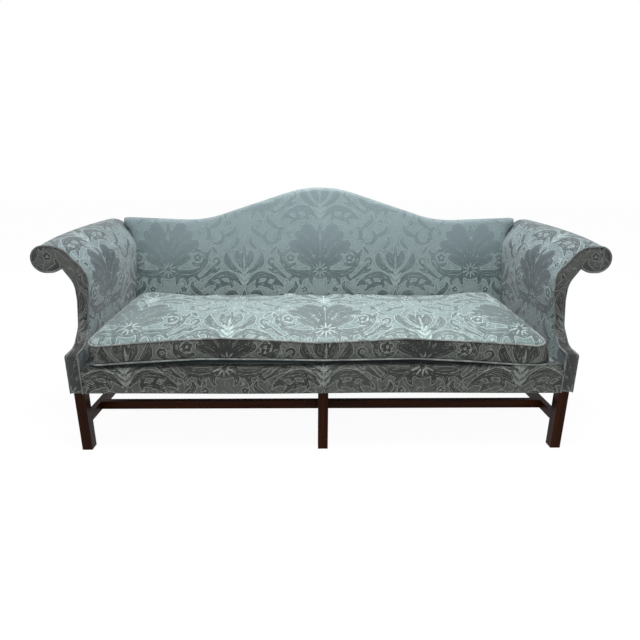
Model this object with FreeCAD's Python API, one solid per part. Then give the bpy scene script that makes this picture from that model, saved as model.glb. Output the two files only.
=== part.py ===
# Camelback sofa: a hardwood frame on square legs, sprung and upholstered, with one loose seat cushion.
# Millimetres, +Z up, +X to the right, the front faces -Y, origin on the floor below the middle of the box.
import FreeCAD, Part
import math
import os

V = FreeCAD.Vector

# Overall sizes
overall_width = 2134.0          # over the outsides of the arm scrolls
hump_height = 950.0             # floor to the top of the hump
arm_height = 768.5              # floor to the top of the scroll at the arm front
seat_depth = 600.0              # arm fronts to the foot of the inside back
back_rake = 15.9                # degrees that the back leans from upright

# Base
base_height = 240.0             # floor to the lower edge of the covers
rail_height = 75.0
rail_thickness = 30.0
rail_clearance = 5.0            # rail bottom above the lower edge of the covers
leg_width = 38.0
leg_chamfer = 2.0
rear_leg_splay = 55.0           # how far a rear foot stands behind the top of its leg
tenon_width = 26.0
tenon_thickness = 12.0
tenon_length = 40.0
stretcher_height = 34.0
stretcher_thickness = 22.0
stretcher_bottom = 109.0
long_stretcher_setback = 128.0  # leg fronts to the front of the long stretcher
cross_rail_count = 3
cross_rail_width = 45.0
cross_rail_height = 38.0
corner_block_leg = 70.0
dowel_radius = 5.0
dowel_length = 50.0
dowel_spacing = 36.0
screw_radius = 2.5
screw_head_radius = 5.0
screw_length = 55.0

# Covers and padding
panel_thickness = 5.0           # padded cover on the arm fronts and the front border
outside_cover = 12.0            # wadding and cover outside the side rails
cover_inset = 6.0               # padding that wraps the arm posts
welt_radius = 2.5
welt_proud = 1.5
welt_gap = 0.2
back_thickness = 60.0           # inside back to outside back, square to the rake
back_pad = 21.0
back_burlap_thickness = 1.5
webbing_thickness = 2.0
webbing_width = 50.0
webbing_count = 14
back_frame_thickness = 28.0
crest_padding = 15.0
crest_rail_height = 80.0
tack_rail_low = 75.0            # tack rail above the seat rails, along the rake
tack_rail_rise = 55.0           # its own height
outside_back_drop = 12.0        # outside back stops this far below the top of the roll
roll_front_radius = 26.0
roll_rear_radius = 18.0

# Arms, measured outwards or inwards from the base and down from the scroll's top
arm_overhang = 130.0            # scroll beyond the base
arm_front_width = 47.0          # block at the arm front
arm_neck_in = 67.0              # base side to the inner neck
arm_neck_out = 20.5             # base side to the outer neck
scroll_radius = 48.0
arm_rise = 33.0                 # how much higher the arm is at the back
arm_splay = 16.0                # how much the inside arm opens towards the back
arm_fill = 14.0                 # how much the outside arm fills out towards the back post
block_top = 396.0               # floor to the top of the block at the arm front
neck_setback = 121.0            # arm front above the block stands this far back
post_depth = 156.0              # arm front to the rear of the front post
arm_rail_width = 76.0
arm_rail_height = 20.0
arm_rail_drop = 58.0            # top of the rail below the top of the roll
notch_out = 23.0                # notch under the scroll, outward from the base side
notch_drop = 82.0               # and down from the scroll's top
arm_web_drop = 40.0             # the padding's inner edge below the notch under the scroll
tack_rail_height = 50.0

# Camel outline of the back, half of it
hump_half = 86.0
hump_round = 0.985              # share of the hump's half that its curve takes
trough_half = 561.0
trough_height = 797.0
corner_half = 938.0
corner_height = 812.0
trough_radius = 520.0

# Seat
spring_count = 12
spring_bars = 26
spring_wire = 1.6               # radius
spring_half_width = 24.0
clip_width = 24.0
clip_depth = 18.0
clip_gauge = 1.2
clip_setback = 12.0             # clips behind the rail's outer edge
burlap_thickness = 1.5
deck_thickness = 15.5
edge_roll_depth = 40.0
edge_roll_radius = 18.0
dust_cover_thickness = 1.0
tack_radius = 4.0

# Seat cushion
cushion_gap = 0.3               # above the deck
cushion_left = -864.0           # it is pushed up to the left arm
cushion_right = 822.0
cushion_setback = 12.0          # its front behind the arm fronts
cushion_cover = 1.5
lower_welt_height = 366.0
upper_welt_height = 440.0
cushion_crown = 46.0            # rise of the top panel above its welt
cushion_corner = 40.0           # rounding of the cushion's corners in plan
cushion_back_gap = 16.0         # boxing to the inside back, level
cushion_draw = 8.0              # how far the front is drawn in between the corners
front_bow_radius = 20000.0
cushion_waist = 3.0             # how far the boxing is drawn in between its welts
zipper_width = 25.0
tape_thickness = 0.8
chain_height = 1.5
chain_half = 1.5
slider_length = 11.0
slider_width = 8.0
slider_thickness = 1.2
slider_gap = 0.3
ear_thickness = 1.0
pull_length = 20.0
pull_thickness = 1.0
pull_eye_radius = 1.4
pin_radius = 0.6

# Places that follow from the sizes
rail_bottom = base_height + rail_clearance
rail_top = rail_bottom + rail_height
rake = math.radians(back_rake)
half_width = overall_width / 2
base_half = half_width - arm_overhang
frame_half = base_half - outside_cover
notch_x = base_half + notch_out
notch_height = arm_height - notch_drop
seam_half = base_half - arm_front_width
overall_depth = (seat_depth + (hump_height - outside_back_drop - rail_top) * math.tan(rake)
                 + back_thickness / math.cos(rake))
front = -overall_depth / 2
panel_front = front + welt_proud
frame_front = panel_front + panel_thickness
seat_back = front + seat_depth
frame_rear_offset = back_thickness - panel_thickness
frame_front_offset = frame_rear_offset - back_frame_thickness
clip_height = 2 * (spring_wire + clip_gauge) + 0.2
spring_level = rail_top + clip_height / 2
burlap_bottom = rail_top + clip_height
deck_bottom = burlap_bottom + burlap_thickness
deck_top = deck_bottom + deck_thickness
shoulder_slope = math.atan2((hump_height - trough_height) / math.cos(rake), trough_half - hump_half)
hump_radius = hump_round * hump_half / math.tan(shoulder_slope / 2)


def back_plane(z, offset):
    """Y of the raked back at height z, offset square to the rake from the inside back's face."""
    return seat_back + (z - rail_top) * math.tan(rake) + offset / math.cos(rake)


rail_rear = back_plane(rail_top, frame_rear_offset)
rear_face = back_plane(rail_top, back_thickness)


def rounded(spots, radii, closed):
    """Wire through the spots, in which each corner with a radius is a tangent arc."""
    starts, ends, arcs = [], [], []
    for i, (spot, radius) in enumerate(zip(spots, radii)):
        if radius == 0:
            starts.append(spot)
            ends.append(spot)
            arcs.append(None)
            continue
        back = (spots[i - 1] - spot).normalize()
        ahead = (spots[(i + 1) % len(spots)] - spot).normalize()
        half = back.getAngle(ahead) / 2
        if math.pi / 2 - half < 1e-4:
            starts.append(spot + back)
            ends.append(spot + ahead)
            arcs.append(Part.LineSegment(starts[-1], ends[-1]).toShape())
            continue
        bisector = (back + ahead).normalize()
        reach = radius / math.tan(half)
        middle = spot + bisector * (radius / math.sin(half) - radius)
        starts.append(spot + back * reach)
        ends.append(spot + ahead * reach)
        arcs.append(Part.Arc(starts[-1], middle, ends[-1]).toShape())
    edges = []
    for i, arc in enumerate(arcs):
        if arc:
            edges.append(arc)
        following = (i + 1) % len(spots)
        if (following or closed) and ends[i].distanceToPoint(starts[following]) > 1e-6:
            edges.append(Part.LineSegment(ends[i], starts[following]).toShape())
    return Part.Wire(edges)


def drawn(points, place, closed=True):
    """Outline from (a, b) or (a, b, radius) points, set in space by place(a, b)."""
    spots = [place(point[0], point[1]) for point in points]
    radii = [point[2] if len(point) > 2 else 0 for point in points]
    return rounded(spots, radii, closed)


def facing(y):
    return lambda x, z: V(x, y, z)


def sideways(x):
    return lambda y, z: V(x, y, z)


def level(z):
    return lambda x, y: V(x, y, z)


def prism(points, place, along):
    return Part.Face(drawn(points, place)).extrude(along)


def block(low, high):
    return Part.makeBox(high[0] - low[0], high[1] - low[1], high[2] - low[2], V(*low))


def less(shape, *tools):
    for tool in tools:
        shape = shape.cut(tool)
    return shape


def tube(spine, radius):
    """Round wire or cord along an open wire."""
    edge = spine.OrderedEdges[0]
    start = edge.valueAt(edge.FirstParameter)
    heading = edge.tangentAt(edge.FirstParameter)
    if spine.OrderedVertexes[0].Point.distanceToPoint(start) > 1e-6:
        start = edge.valueAt(edge.LastParameter)
        heading = edge.tangentAt(edge.LastParameter) * -1
    section = Part.Wire(Part.makeCircle(radius, start, heading))
    return spine.makePipeShell([section], True, False)


def lean(shape):
    """Set a piece of the back, built upright, onto the rake."""
    shape.rotate(V(0, 0, 0), V(1, 0, 0), -back_rake)
    shape.translate(V(0, seat_back, rail_top))
    return shape


def mirrored(shape):
    return shape.mirror(V(0, 0, 0), V(1, 0, 0))


def group(shapes):
    return Part.makeCompound([solid for shape in shapes for solid in shape.Solids])


def export(name, shape):
    solids = shape.Solids
    shape = solids[0] if len(solids) == 1 else Part.makeCompound(solids)
    shape.exportStep(os.path.join("parts", name + ".step"))


def export_pair(name, right):
    export(name + "_right", right)
    export(name + "_left", mirrored(right))


# Legs and stretchers

def front_leg(middle, top):
    leg = block((middle - leg_width / 2, frame_front, 0),
                (middle + leg_width / 2, frame_front + leg_width, top))
    feet = [edge for edge in leg.Edges if edge.BoundBox.ZMax < 1e-6]
    return leg.makeChamfer(leg_chamfer, feet)


def rear_leg(middle, top):
    """Sawn leg: upright inside the rail, raked back to the floor below it."""
    rear = rail_rear
    points = [(rear - leg_width, top), (rear - leg_width, rail_bottom),
              (rear - leg_width + rear_leg_splay, 0), (rear + rear_leg_splay, 0),
              (rear, rail_bottom), (rear, top)]
    return prism(points, sideways(middle - leg_width / 2), V(leg_width, 0, 0))


def tenon(y_middle):
    return block((-tenon_width / 2, y_middle - tenon_thickness / 2, rail_bottom),
                 (tenon_width / 2, y_middle + tenon_thickness / 2, rail_bottom + tenon_length))


def side_stretcher():
    inner = frame_half - leg_width
    bar = block((inner, frame_front + leg_width, stretcher_bottom),
                (inner + stretcher_thickness, rail_rear + rear_leg_splay,
                 stretcher_bottom + stretcher_height))
    return bar.common(between_legs(inner, inner + stretcher_thickness))


def between_legs(x_low, x_high):
    """Space from the front legs' rear faces to the rear legs' raked front faces."""
    near = frame_front + leg_width
    far = rail_rear - leg_width
    points = [(near, 0), (far + rear_leg_splay, 0), (far, rail_bottom), (near, rail_bottom)]
    return prism(points, sideways(x_low), V(x_high - x_low, 0, 0))


def centre_stretcher():
    half = stretcher_thickness / 2
    bar = block((-half, frame_front, stretcher_bottom),
                (half, rail_rear + rear_leg_splay, stretcher_bottom + stretcher_height))
    return bar.common(between_legs(-half, half))


def long_stretcher():
    near = frame_front + long_stretcher_setback
    return block((stretcher_thickness / 2, near, stretcher_bottom),
                 (frame_half - leg_width, near + stretcher_thickness,
                  stretcher_bottom + stretcher_height))


# Seat frame

corner_leg = frame_half - leg_width / 2
inner_leg = frame_half - leg_width
rail_inner = frame_half - rail_thickness
front_rail_rear = frame_front + rail_thickness
rear_rail_front = rail_rear - rail_thickness


def front_rail():
    return block((-inner_leg, frame_front, rail_bottom), (inner_leg, front_rail_rear, rail_top))


def rear_rail():
    return block((-inner_leg, rear_rail_front, rail_bottom), (inner_leg, rail_rear, rail_top))


def side_rail():
    return block((rail_inner, frame_front + leg_width, rail_bottom),
                 (frame_half, rail_rear - leg_width, rail_top))


def cross_rails():
    pitch = 2 * inner_leg / (cross_rail_count + 1)
    rails = []
    for i in range(cross_rail_count):
        middle = -inner_leg + pitch * (i + 1)
        rails.append(block((middle - cross_rail_width / 2, front_rail_rear, rail_bottom),
                           (middle + cross_rail_width / 2, rear_rail_front,
                            rail_bottom + cross_rail_height)))
    return rails


def corner_screw(corner, heading):
    """Screw through the corner block at its middle, into the inner corner of the frame."""
    face = corner + heading * (-corner_block_leg / math.sqrt(2))
    shank = Part.makeCylinder(screw_radius, screw_length, face, heading)
    head = Part.makeCone(screw_head_radius, screw_radius, screw_head_radius, face, heading)
    return shank.fuse(head).removeSplitter()


def corner_blocks_and_screws():
    """Triangular glue blocks in the four inner corners, each with one screw."""
    blocks, screws = [], []
    for side in (-1, 1):
        for end in (-1, 1):
            x = side * inner_leg
            y = frame_front + leg_width if end < 0 else rail_rear - leg_width
            points = [(x, y), (x - side * corner_block_leg, y), (x, y - end * corner_block_leg)]
            piece = prism(points, level(rail_bottom), V(0, 0, rail_height))
            screw = corner_screw(V(x, y, (rail_bottom + rail_top) / 2),
                                 V(side, end, 0).normalize())
            blocks.append(piece.cut(screw))
            screws.append(screw)
    return blocks, screws


def frame_dowels():
    """Two dowels in each joint of the seat frame, half in the leg and half in the rail."""
    heights = [(rail_bottom + rail_top + step * dowel_spacing) / 2 for step in (-1, 1)]
    side_x = frame_half - rail_thickness / 2
    rail_y = [frame_front + rail_thickness / 2, rail_rear - rail_thickness / 2]
    joint_y = [frame_front + leg_width, rail_rear - leg_width]
    dowels = []
    for side in (-1, 1):
        for i, z in enumerate(heights):
            for y in rail_y:
                start = V(side * inner_leg - dowel_length / 2, y, z)
                dowels.append(Part.makeCylinder(dowel_radius, dowel_length, start, V(1, 0, 0)))
            for y in joint_y:
                start = V(side * side_x, y - dowel_length / 2, z)
                dowels.append(Part.makeCylinder(dowel_radius, dowel_length, start, V(0, 1, 0)))
    return dowels


# Arms: every section is drawn from the same outline, right arm

def sweep_points(setback):
    """Side view of the arm front: block, sweep and neck, set back behind the panel's face."""
    y = panel_front + setback
    neck = y + neck_setback
    return [(y, base_height), (y, block_top - setback, 12),
            (y + 0.545 * neck_setback, block_top + 4 - setback, 60),
            (neck, block_top + 66 - setback, 30), (neck, 2 * hump_height)]


def ahead_of_arm(setback):
    """Everything in front of the arm's face, or of a face set back behind it."""
    points = sweep_points(setback)
    points += [(front - 50, 2 * hump_height), (front - 50, base_height)]
    return prism(points, sideways(-half_width - 50), V(overall_width + 100, 0, 0))


def inner_arm(rise, splay):
    """Inner half of the outline, from the deck up the neck and over the scroll to its notch."""
    scroll_top = arm_height + rise
    outer = half_width - welt_radius
    neck = base_half - arm_neck_in + splay
    return [(seam_half, block_top + 91, 150), (neck, block_top + 189, 250),
            (neck, scroll_top - 100, 80), (neck + 85, scroll_top, 85),
            (outer, scroll_top, scroll_radius), (outer, scroll_top - 2 * scroll_radius, scroll_radius),
            (outer - 76, scroll_top - 2 * scroll_radius, 60), (notch_x, notch_height + rise)]


def outer_arm(rise, fill):
    """Outer half of the outline, from the notch down the neck to the block."""
    neck = base_half - arm_neck_out + fill
    return [(neck + 2, notch_height - 56 + rise / 2, 90), (neck, notch_height - 121, 200),
            (base_half - 6, block_top + 64, 120), (base_half - 6, block_top + 4, 20),
            (base_half, block_top - 8, 20), (base_half, base_height)]


def under_cover(rise, fill):
    """The same half on the inner side of the outside cover, down to the frame."""
    neck = base_half - arm_neck_out + fill - panel_thickness
    return [(neck + 2, notch_height - 56 + rise / 2, 90), (neck, notch_height - 121, 200),
            (frame_half, block_top + 64, 120), (frame_half, base_height)]


def arm_outline(rise=0.0, splay=0.0, fill=0.0):
    return [(seam_half, base_height)] + inner_arm(rise, splay) + outer_arm(rise, fill)


def arm_stations():
    """Distances behind the arm front, with the part of the rise and of the splay reached there."""
    length = overall_depth
    return [(0, -0.55), (neck_setback, 0.0), (0.32 * length, 0.54), (0.55 * length, 0.87),
            (0.8 * length, 1.0), (length, 1.0)]


def arm_loft(section):
    wires = []
    for distance, share in arm_stations():
        splay = arm_splay * distance / overall_depth
        fill = arm_fill * min(1.0, distance / (0.55 * overall_depth))
        wires.append(drawn(section(arm_rise * share, splay, fill), facing(panel_front + distance)))
    return Part.makeLoft(wires, True, False)


def behind_back(offset):
    """Everything behind the back's raked plane at an offset, upright below the rail's top."""
    foot = back_plane(rail_top, offset)
    high = 2 * hump_height
    points = [(foot, 0), (foot, rail_top), (back_plane(high, offset), high),
              (foot + overall_depth, high), (foot + overall_depth, 0)]
    return prism(points, sideways(-half_width - 50), V(overall_width + 100, 0, 0))


def arm_post():
    """Sawn front post: block, swept neck and scroll head in one plank, standing on leg and rail."""
    face = Part.Face(drawn(arm_outline(), facing(frame_front)))
    plank = face.makeOffset2D(-cover_inset).extrude(V(0, post_depth, 0))
    below = block((0, front - 50, 0), (half_width, front + overall_depth, rail_top))
    behind = block((0, post_rear(), rail_top), (half_width, front + overall_depth, hump_height))
    beside = block((frame_half, front - 50, rail_top),
                   (half_width, front + overall_depth, notch_height - arm_web_drop))
    return less(plank, ahead_of_arm(panel_thickness), below, behind, beside)


def post_rear():
    return front + post_depth


def arm_top_rail():
    """Board in the roll, rising from the front post's scroll head to the back post."""
    def section(rise, splay, fill):
        x = frame_half
        top = arm_height - arm_rail_drop + rise
        return [(x, top - arm_rail_height), (x + arm_rail_width, top - arm_rail_height),
                (x + arm_rail_width, top), (x, top)]
    ahead = block((0, front - 50, 0), (half_width, post_rear(), hump_height))
    return less(arm_loft(section), ahead, behind_back(frame_rear_offset))


def arm_tack_rail():
    """Lower rail of the arm, on the side rail, to which the inside arm is drawn down."""
    x = seam_half + cover_inset
    far = back_plane(rail_top, frame_rear_offset)
    bar = block((x, post_rear(), rail_top), (frame_half, far, rail_top + tack_rail_height))
    return bar


def inside_arm(*frame):
    """Padded inside of the arm, over the roll to the notch under the scroll."""
    def section(rise, splay, fill):
        web = seam_half + cover_inset
        return ([(seam_half, rail_top)] + inner_arm(rise, splay)
                + [(web, notch_height - arm_web_drop + rise), (web, rail_top)])
    pad = less(arm_loft(section), ahead_of_arm(panel_thickness), behind_back(frame_rear_offset))
    return less(pad, *frame)


def outside_arm():
    """Cover of the arm's outside, from the notch under the scroll to the lower edge of the rail."""
    def section(rise, splay, fill):
        outer = [(notch_x, notch_height + rise)] + outer_arm(rise, fill)
        inner = [(notch_x - panel_thickness, notch_height + rise)] + under_cover(rise, fill)
        return outer + inner[::-1]
    return less(arm_loft(section), ahead_of_arm(panel_thickness), behind_back(frame_rear_offset))


def arm_front_panel():
    """Padded facing of the arm front, inside its cord: block, sweep, neck and scroll."""
    face = Part.Face(drawn(arm_outline(), facing(panel_front)))
    inside_cord = face.makeOffset2D(-welt_radius - welt_gap)
    slab = inside_cord.extrude(V(0, neck_setback + 2 * panel_thickness, 0))
    return slab.cut(ahead_of_arm(0)).common(ahead_of_arm(panel_thickness))


def arm_welt():
    """Cord from the foot of the block up the inner edge and round the scroll to its notch."""
    low = [(V(seam_half, y, z), radius) for y, z, radius in
           [point if len(point) > 2 else point + (0,) for point in sweep_points(1)[:-1]]]
    neck = low[-1][0].y
    high = [(V(point[0], neck, point[1]), point[2] if len(point) > 2 else 0)
            for point in inner_arm(0, 0)]
    spots = [spot for spot, radius in low + high]
    radii = [radius for spot, radius in low + high]
    return tube(rounded(spots, radii, False), welt_radius)


# Back, built upright with the inside back's face at Y = 0 and then leaned onto the rake

def camel(drop, offset=0.0):
    """Top outline of the back, from the left corner to the right one."""
    def height(z):
        return (z - rail_top - drop + offset * math.sin(rake)) / math.cos(rake)
    right = [(hump_half, height(hump_height), hump_radius),
             (trough_half, height(trough_height), trough_radius),
             (corner_half, height(corner_height))]
    return [(-x, *rest) for x, *rest in right[::-1]] + right


def back_prism(points, near, far):
    return prism(points, facing(near), V(0, far - near, 0))


def above_rail(shape):
    return shape.cut(block((-half_width, front - 50, 0), (half_width, front + 2 * overall_depth, rail_top)))


def over_crest():
    """Everything of the frame's depth above the middle of the crest rail."""
    over = camel(crest_padding + crest_rail_height / 2, back_thickness / 2)
    return back_prism(over + [(corner_half, 2 * hump_height), (-corner_half, 2 * hump_height)],
                      frame_front_offset, frame_rear_offset)


def crest_rail():
    """Sawn board under the top roll, its upper edge follows the camel."""
    middle = back_thickness / 2
    top = camel(crest_padding, middle)
    bottom = camel(crest_padding + crest_rail_height, middle)
    rail = back_prism(top + bottom[::-1], frame_front_offset, frame_rear_offset)
    ends = block((-frame_half, frame_front_offset, 0), (frame_half, frame_rear_offset, hump_height))
    return lean(rail.common(ends))


def back_post(crest):
    """Upright at each end of the back, from the rear rail to the crest rail."""
    inner = seam_half + cover_inset
    post = block((inner, frame_front_offset, -rail_height), (frame_half, frame_rear_offset, hump_height))
    return above_rail(lean(post.cut(over_crest()))).cut(crest)


def back_tack_rail():
    """Rail low in the back, to which the webbing and the inside back are tacked."""
    inner = seam_half + cover_inset
    return lean(block((-inner, frame_front_offset, tack_rail_low),
                      (inner, frame_rear_offset, tack_rail_low + tack_rail_rise)))


def back_uprights(crest):
    """Two uprights between the tack rail and the crest rail."""
    uprights = []
    for middle in (-frame_half / 3, frame_half / 3):
        upright = block((middle - cross_rail_width / 2, frame_front_offset, tack_rail_low + tack_rail_rise),
                        (middle + cross_rail_width / 2, frame_rear_offset, hump_height))
        uprights.append(lean(upright.cut(over_crest())).cut(crest))
    return uprights


def below_crest(near, far, drop):
    """Slab of the back under a lowered camel outline, between the arms."""
    inner = seam_half + cover_inset
    points = [(-corner_half, 0)] + camel(drop, back_thickness / 2) + [(corner_half, 0)]
    slab = back_prism(points, near, far)
    return slab.common(block((-inner, near, 0), (inner, far, 2 * hump_height)))


def back_webbing():
    """Upright jute straps, tacked to the front of the tack rail and of the crest rail."""
    slab = below_crest(frame_front_offset - webbing_thickness, frame_front_offset,
                       crest_padding + crest_rail_height / 4)
    pitch = 2 * seam_half / webbing_count
    straps = []
    for i in range(webbing_count):
        middle = -seam_half + pitch * (i + 0.5)
        strap = block((middle - webbing_width / 2, 0, tack_rail_low + tack_rail_rise / 4),
                      (middle + webbing_width / 2, back_thickness, hump_height))
        straps.append(lean(slab.common(strap)))
    return straps


def back_burlap():
    far = frame_front_offset - webbing_thickness
    slab = below_crest(far - back_burlap_thickness, far, crest_padding + crest_rail_height / 4)
    low = block((-half_width, 0, 0), (half_width, back_thickness, tack_rail_low))
    return lean(slab.cut(low))


def inside_back(*neighbours):
    """Padded inside back with its top roll over the crest rail, between the arms."""
    points = [(-corner_half, 0)] + camel(0, roll_front_radius) + [(corner_half, 0)]
    body = back_prism(points, 0, frame_rear_offset)
    front_edges = [edge for edge in body.Edges
                   if edge.BoundBox.YMax < 1e-6 and edge.BoundBox.ZMin > 1e-6
                   and edge.BoundBox.XLength > 1]
    body = body.makeFillet(roll_front_radius, front_edges)
    rear_edges = [edge for edge in body.Edges
                  if edge.BoundBox.YMin > frame_rear_offset - 1e-6 and edge.BoundBox.ZMin > 1e-6
                  and edge.BoundBox.XLength > 1]
    body = body.makeFillet(roll_rear_radius, rear_edges)
    under = camel(crest_padding, back_thickness / 2)
    side = corner_half + 1
    hollow = ([(-side, -rail_height), (-side, under[0][1])] + under[1:-1]
              + [(side, under[-1][1]), (side, -rail_height)])
    body = lean(body.cut(back_prism(hollow, back_pad, back_thickness)))
    floor = block((-half_width, front, 0), (half_width, front + 2 * overall_depth, deck_bottom))
    return max(less(body, floor, *neighbours).Solids, key=lambda solid: solid.Volume)


def outside_back():
    """Flat cover of the whole rear: raked above the rail, upright below, with both scroll ends."""
    band = behind_back(frame_rear_offset).cut(behind_back(back_thickness))
    top = [(x, (z * math.cos(rake)) + rail_top, *rest) for x, z, *rest in camel(outside_back_drop)]
    middle = prism([(-corner_half, base_height)] + top + [(corner_half, base_height)],
                   facing(seat_back), V(0, overall_depth, 0))
    arm = Part.Face(drawn(arm_outline(arm_rise, arm_splay, arm_fill), facing(seat_back)))
    right = arm.extrude(V(0, overall_depth, 0))
    return band.common(middle.fuse(right).fuse(mirrored(right))).removeSplitter()


# Seat suspension and deck

def spring_places():
    pitch = 2 * inner_leg / spring_count
    return [-inner_leg + pitch * (i + 0.5) for i in range(spring_count)]


def clip_middles():
    reach = clip_setback + clip_depth / 2
    return frame_front + reach, rail_rear - reach


def seat_springs():
    """Zigzag wires from the front rail to the rear rail."""
    near, far = clip_middles()
    pitch = (far - near) / (spring_bars - 1)
    radius = 0.45 * pitch
    points = []
    for i in range(spring_bars):
        side = spring_half_width if i % 2 else -spring_half_width
        y = near + i * pitch
        points.append((side, y, radius if i else 0))
        points.append((-side, y, radius if i < spring_bars - 1 else 0))
    wire = tube(drawn(points, level(spring_level), closed=False), spring_wire)
    springs = []
    for x in spring_places():
        spring = wire.copy()
        spring.translate(V(x, 0, 0))
        springs.append(spring)
    return springs


def spring_clips():
    """Folded steel clips that hold the springs' end bars on the rails."""
    clips = []
    for x in spring_places():
        for y, way in zip(clip_middles(), (1, -1)):
            near, far = y - clip_depth / 2, y + clip_depth / 2
            plate = block((x - clip_width / 2, near, rail_top), (x + clip_width / 2, far, burlap_bottom))
            room = block((x - clip_width, near, rail_top + clip_gauge),
                         (x + clip_width, far, burlap_bottom - clip_gauge))
            room.translate(V(0, way * clip_gauge, 0))
            clips.append(plate.cut(room))
    return clips


def seat_burlap():
    return block((-seam_half, frame_front + clip_setback, burlap_bottom),
                 (seam_half, back_plane(rail_top, frame_front_offset), deck_bottom))


def deck_pad(inside_back_shape):
    pad = block((-seam_half, frame_front + edge_roll_depth, deck_bottom),
                (seam_half, seat_back + back_pad, deck_top))
    return pad.cut(inside_back_shape)


def border_section(setback):
    y = panel_front + setback
    top = deck_top - setback
    return [(y, top, edge_roll_radius - setback), (frame_front + edge_roll_depth, top)]


def front_edge_roll():
    """Stuffed roll along the front rail's top edge."""
    points = ([(frame_front, rail_top)] + border_section(panel_thickness)
              + [(frame_front + edge_roll_depth, deck_bottom), (frame_front + clip_setback, deck_bottom),
                 (frame_front + clip_setback, rail_top)])
    return prism(points, sideways(-seam_half), V(2 * seam_half, 0, 0))


def front_border():
    """Damask band over the front rail and the edge roll, between the arms' cords."""
    end = seam_half - welt_radius - welt_gap
    outer = [(panel_front, base_height)] + border_section(0)
    inner = [(frame_front, base_height)] + border_section(panel_thickness)
    return prism(outer + inner[::-1], sideways(-end), V(2 * end, 0, 0))


def dust_cover():
    """Black cloth under the seat frame, cut round the legs."""
    sheet = block((-frame_half, frame_front, rail_bottom - dust_cover_thickness),
                  (frame_half, rail_rear, rail_bottom))
    for middle in (-corner_leg, 0, corner_leg):
        for near, far in ((frame_front, frame_front + leg_width), (rail_rear - leg_width, rear_face)):
            sheet = sheet.cut(block((middle - leg_width / 2, near, 0), (middle + leg_width / 2, far, rail_top)))
    return sheet


def dust_cover_tacks():
    z = rail_bottom - dust_cover_thickness - 1
    pitch = 2 * inner_leg / 12
    tacks = []
    for i in range(12):
        for y in (frame_front + rail_thickness / 2, rail_rear - rail_thickness / 2):
            tacks.append(Part.makeCylinder(tack_radius, 1, V(-inner_leg + pitch * (i + 0.5), y, z)))
    return tacks


# Seat cushion: every level is the same plan outline, drawn in or out, its rear along the inside back

cushion_floor = deck_top + cushion_gap
cushion_top = upper_welt_height + cushion_crown


def cushion_outline(z, inset, rear_inset):
    near = front + cushion_setback + inset
    far = back_plane(z, 0) - cushion_back_gap - rear_inset
    left, right = cushion_left + inset, cushion_right - inset
    return [(left, near, cushion_corner), ((left + right) / 2, near + cushion_draw, front_bow_radius),
            (right, near, cushion_corner), (right, far, cushion_corner), (left, far, cushion_corner)]


def cushion_part(levels, cover, straight):
    """Loft through (height, inset, inset at the rear) levels, all drawn in by the cover."""
    wires = [drawn(cushion_outline(z, inset + cover, rear_inset + cover), level(z))
             for z, inset, rear_inset in levels]
    return Part.makeLoft(wires, True, straight)


def cushion_parts(cover):
    """Underside with its belly, boxing drawn in at the waist, and crowned top."""
    low, high = lower_welt_height, upper_welt_height
    floor, top = cushion_floor + cover, cushion_top - cover
    under = [(floor, 60, 60), (floor + 0.35 * (low - floor), 20, 20), (low, 0, 0)]
    boxing = [(low, 0, 0), ((low + high) / 2, cushion_waist, 0), (high, 0, 0)]
    over = [(high, 0, 0), (high + 0.5 * (top - high), 30, 30), (high + 0.85 * (top - high), 100, 100),
            (top, 210, 210)]
    return (cushion_part(under, cover, False), cushion_part(boxing, cover, True),
            cushion_part(over, cover, False))


def cushion_welt(height):
    """Closed cord round the cushion at a seam, standing a little proud of it."""
    sink = welt_radius - welt_proud
    outline = drawn(cushion_outline(height, sink, sink), level(height))
    return tube(outline, welt_radius)


def on_boxing(shape):
    """Set a piece of the zipper, built upright on a flat tape, onto the leaning rear boxing."""
    middle = (lower_welt_height + upper_welt_height) / 2
    shape.rotate(V(0, 0, 0), V(1, 0, 0), -back_rake)
    shape.translate(V(0, back_plane(middle, 0) - cushion_back_gap, middle))
    return shape


tape_left = cushion_left + 2 * cushion_corner
tape_right = cushion_right - 2 * cushion_corner
slider_x = tape_right - slider_length
chain_top = tape_thickness + chain_height
slider_floor = tape_thickness + slider_gap
slider_roof = chain_top + slider_gap + slider_thickness
pin_height = slider_roof + slider_gap + pull_eye_radius


def zipper_tape():
    """Woven tape and the coil chain along its middle."""
    tape = block((tape_left, 0, -zipper_width / 2), (tape_right, tape_thickness, zipper_width / 2))
    chain = block((tape_left, tape_thickness, -chain_half), (tape_right, chain_top, chain_half))
    return on_boxing(tape), on_boxing(chain)


def zipper_slider():
    """Slider that straddles the chain, with two ears and the pin that carries the pull."""
    near, far = slider_x - slider_length / 2, slider_x + slider_length / 2
    half = slider_width / 2
    body = block((near, slider_floor, -half), (far, slider_roof, half))
    slot = block((near - 1, 0, -chain_half - slider_gap),
                 (far + 1, chain_top + slider_gap, chain_half + slider_gap))
    body = body.cut(slot)
    for side in (-1, 1):
        low = side * half if side < 0 else half - ear_thickness
        ear = block((slider_x - pull_eye_radius, slider_roof, low),
                    (slider_x + pull_eye_radius, pin_height + pull_eye_radius, low + ear_thickness))
        body = body.fuse(ear)
    pin = Part.makeCylinder(pin_radius, slider_width, V(slider_x, pin_height, -half), V(0, 0, 1))
    return on_boxing(body.fuse(pin).removeSplitter())


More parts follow.
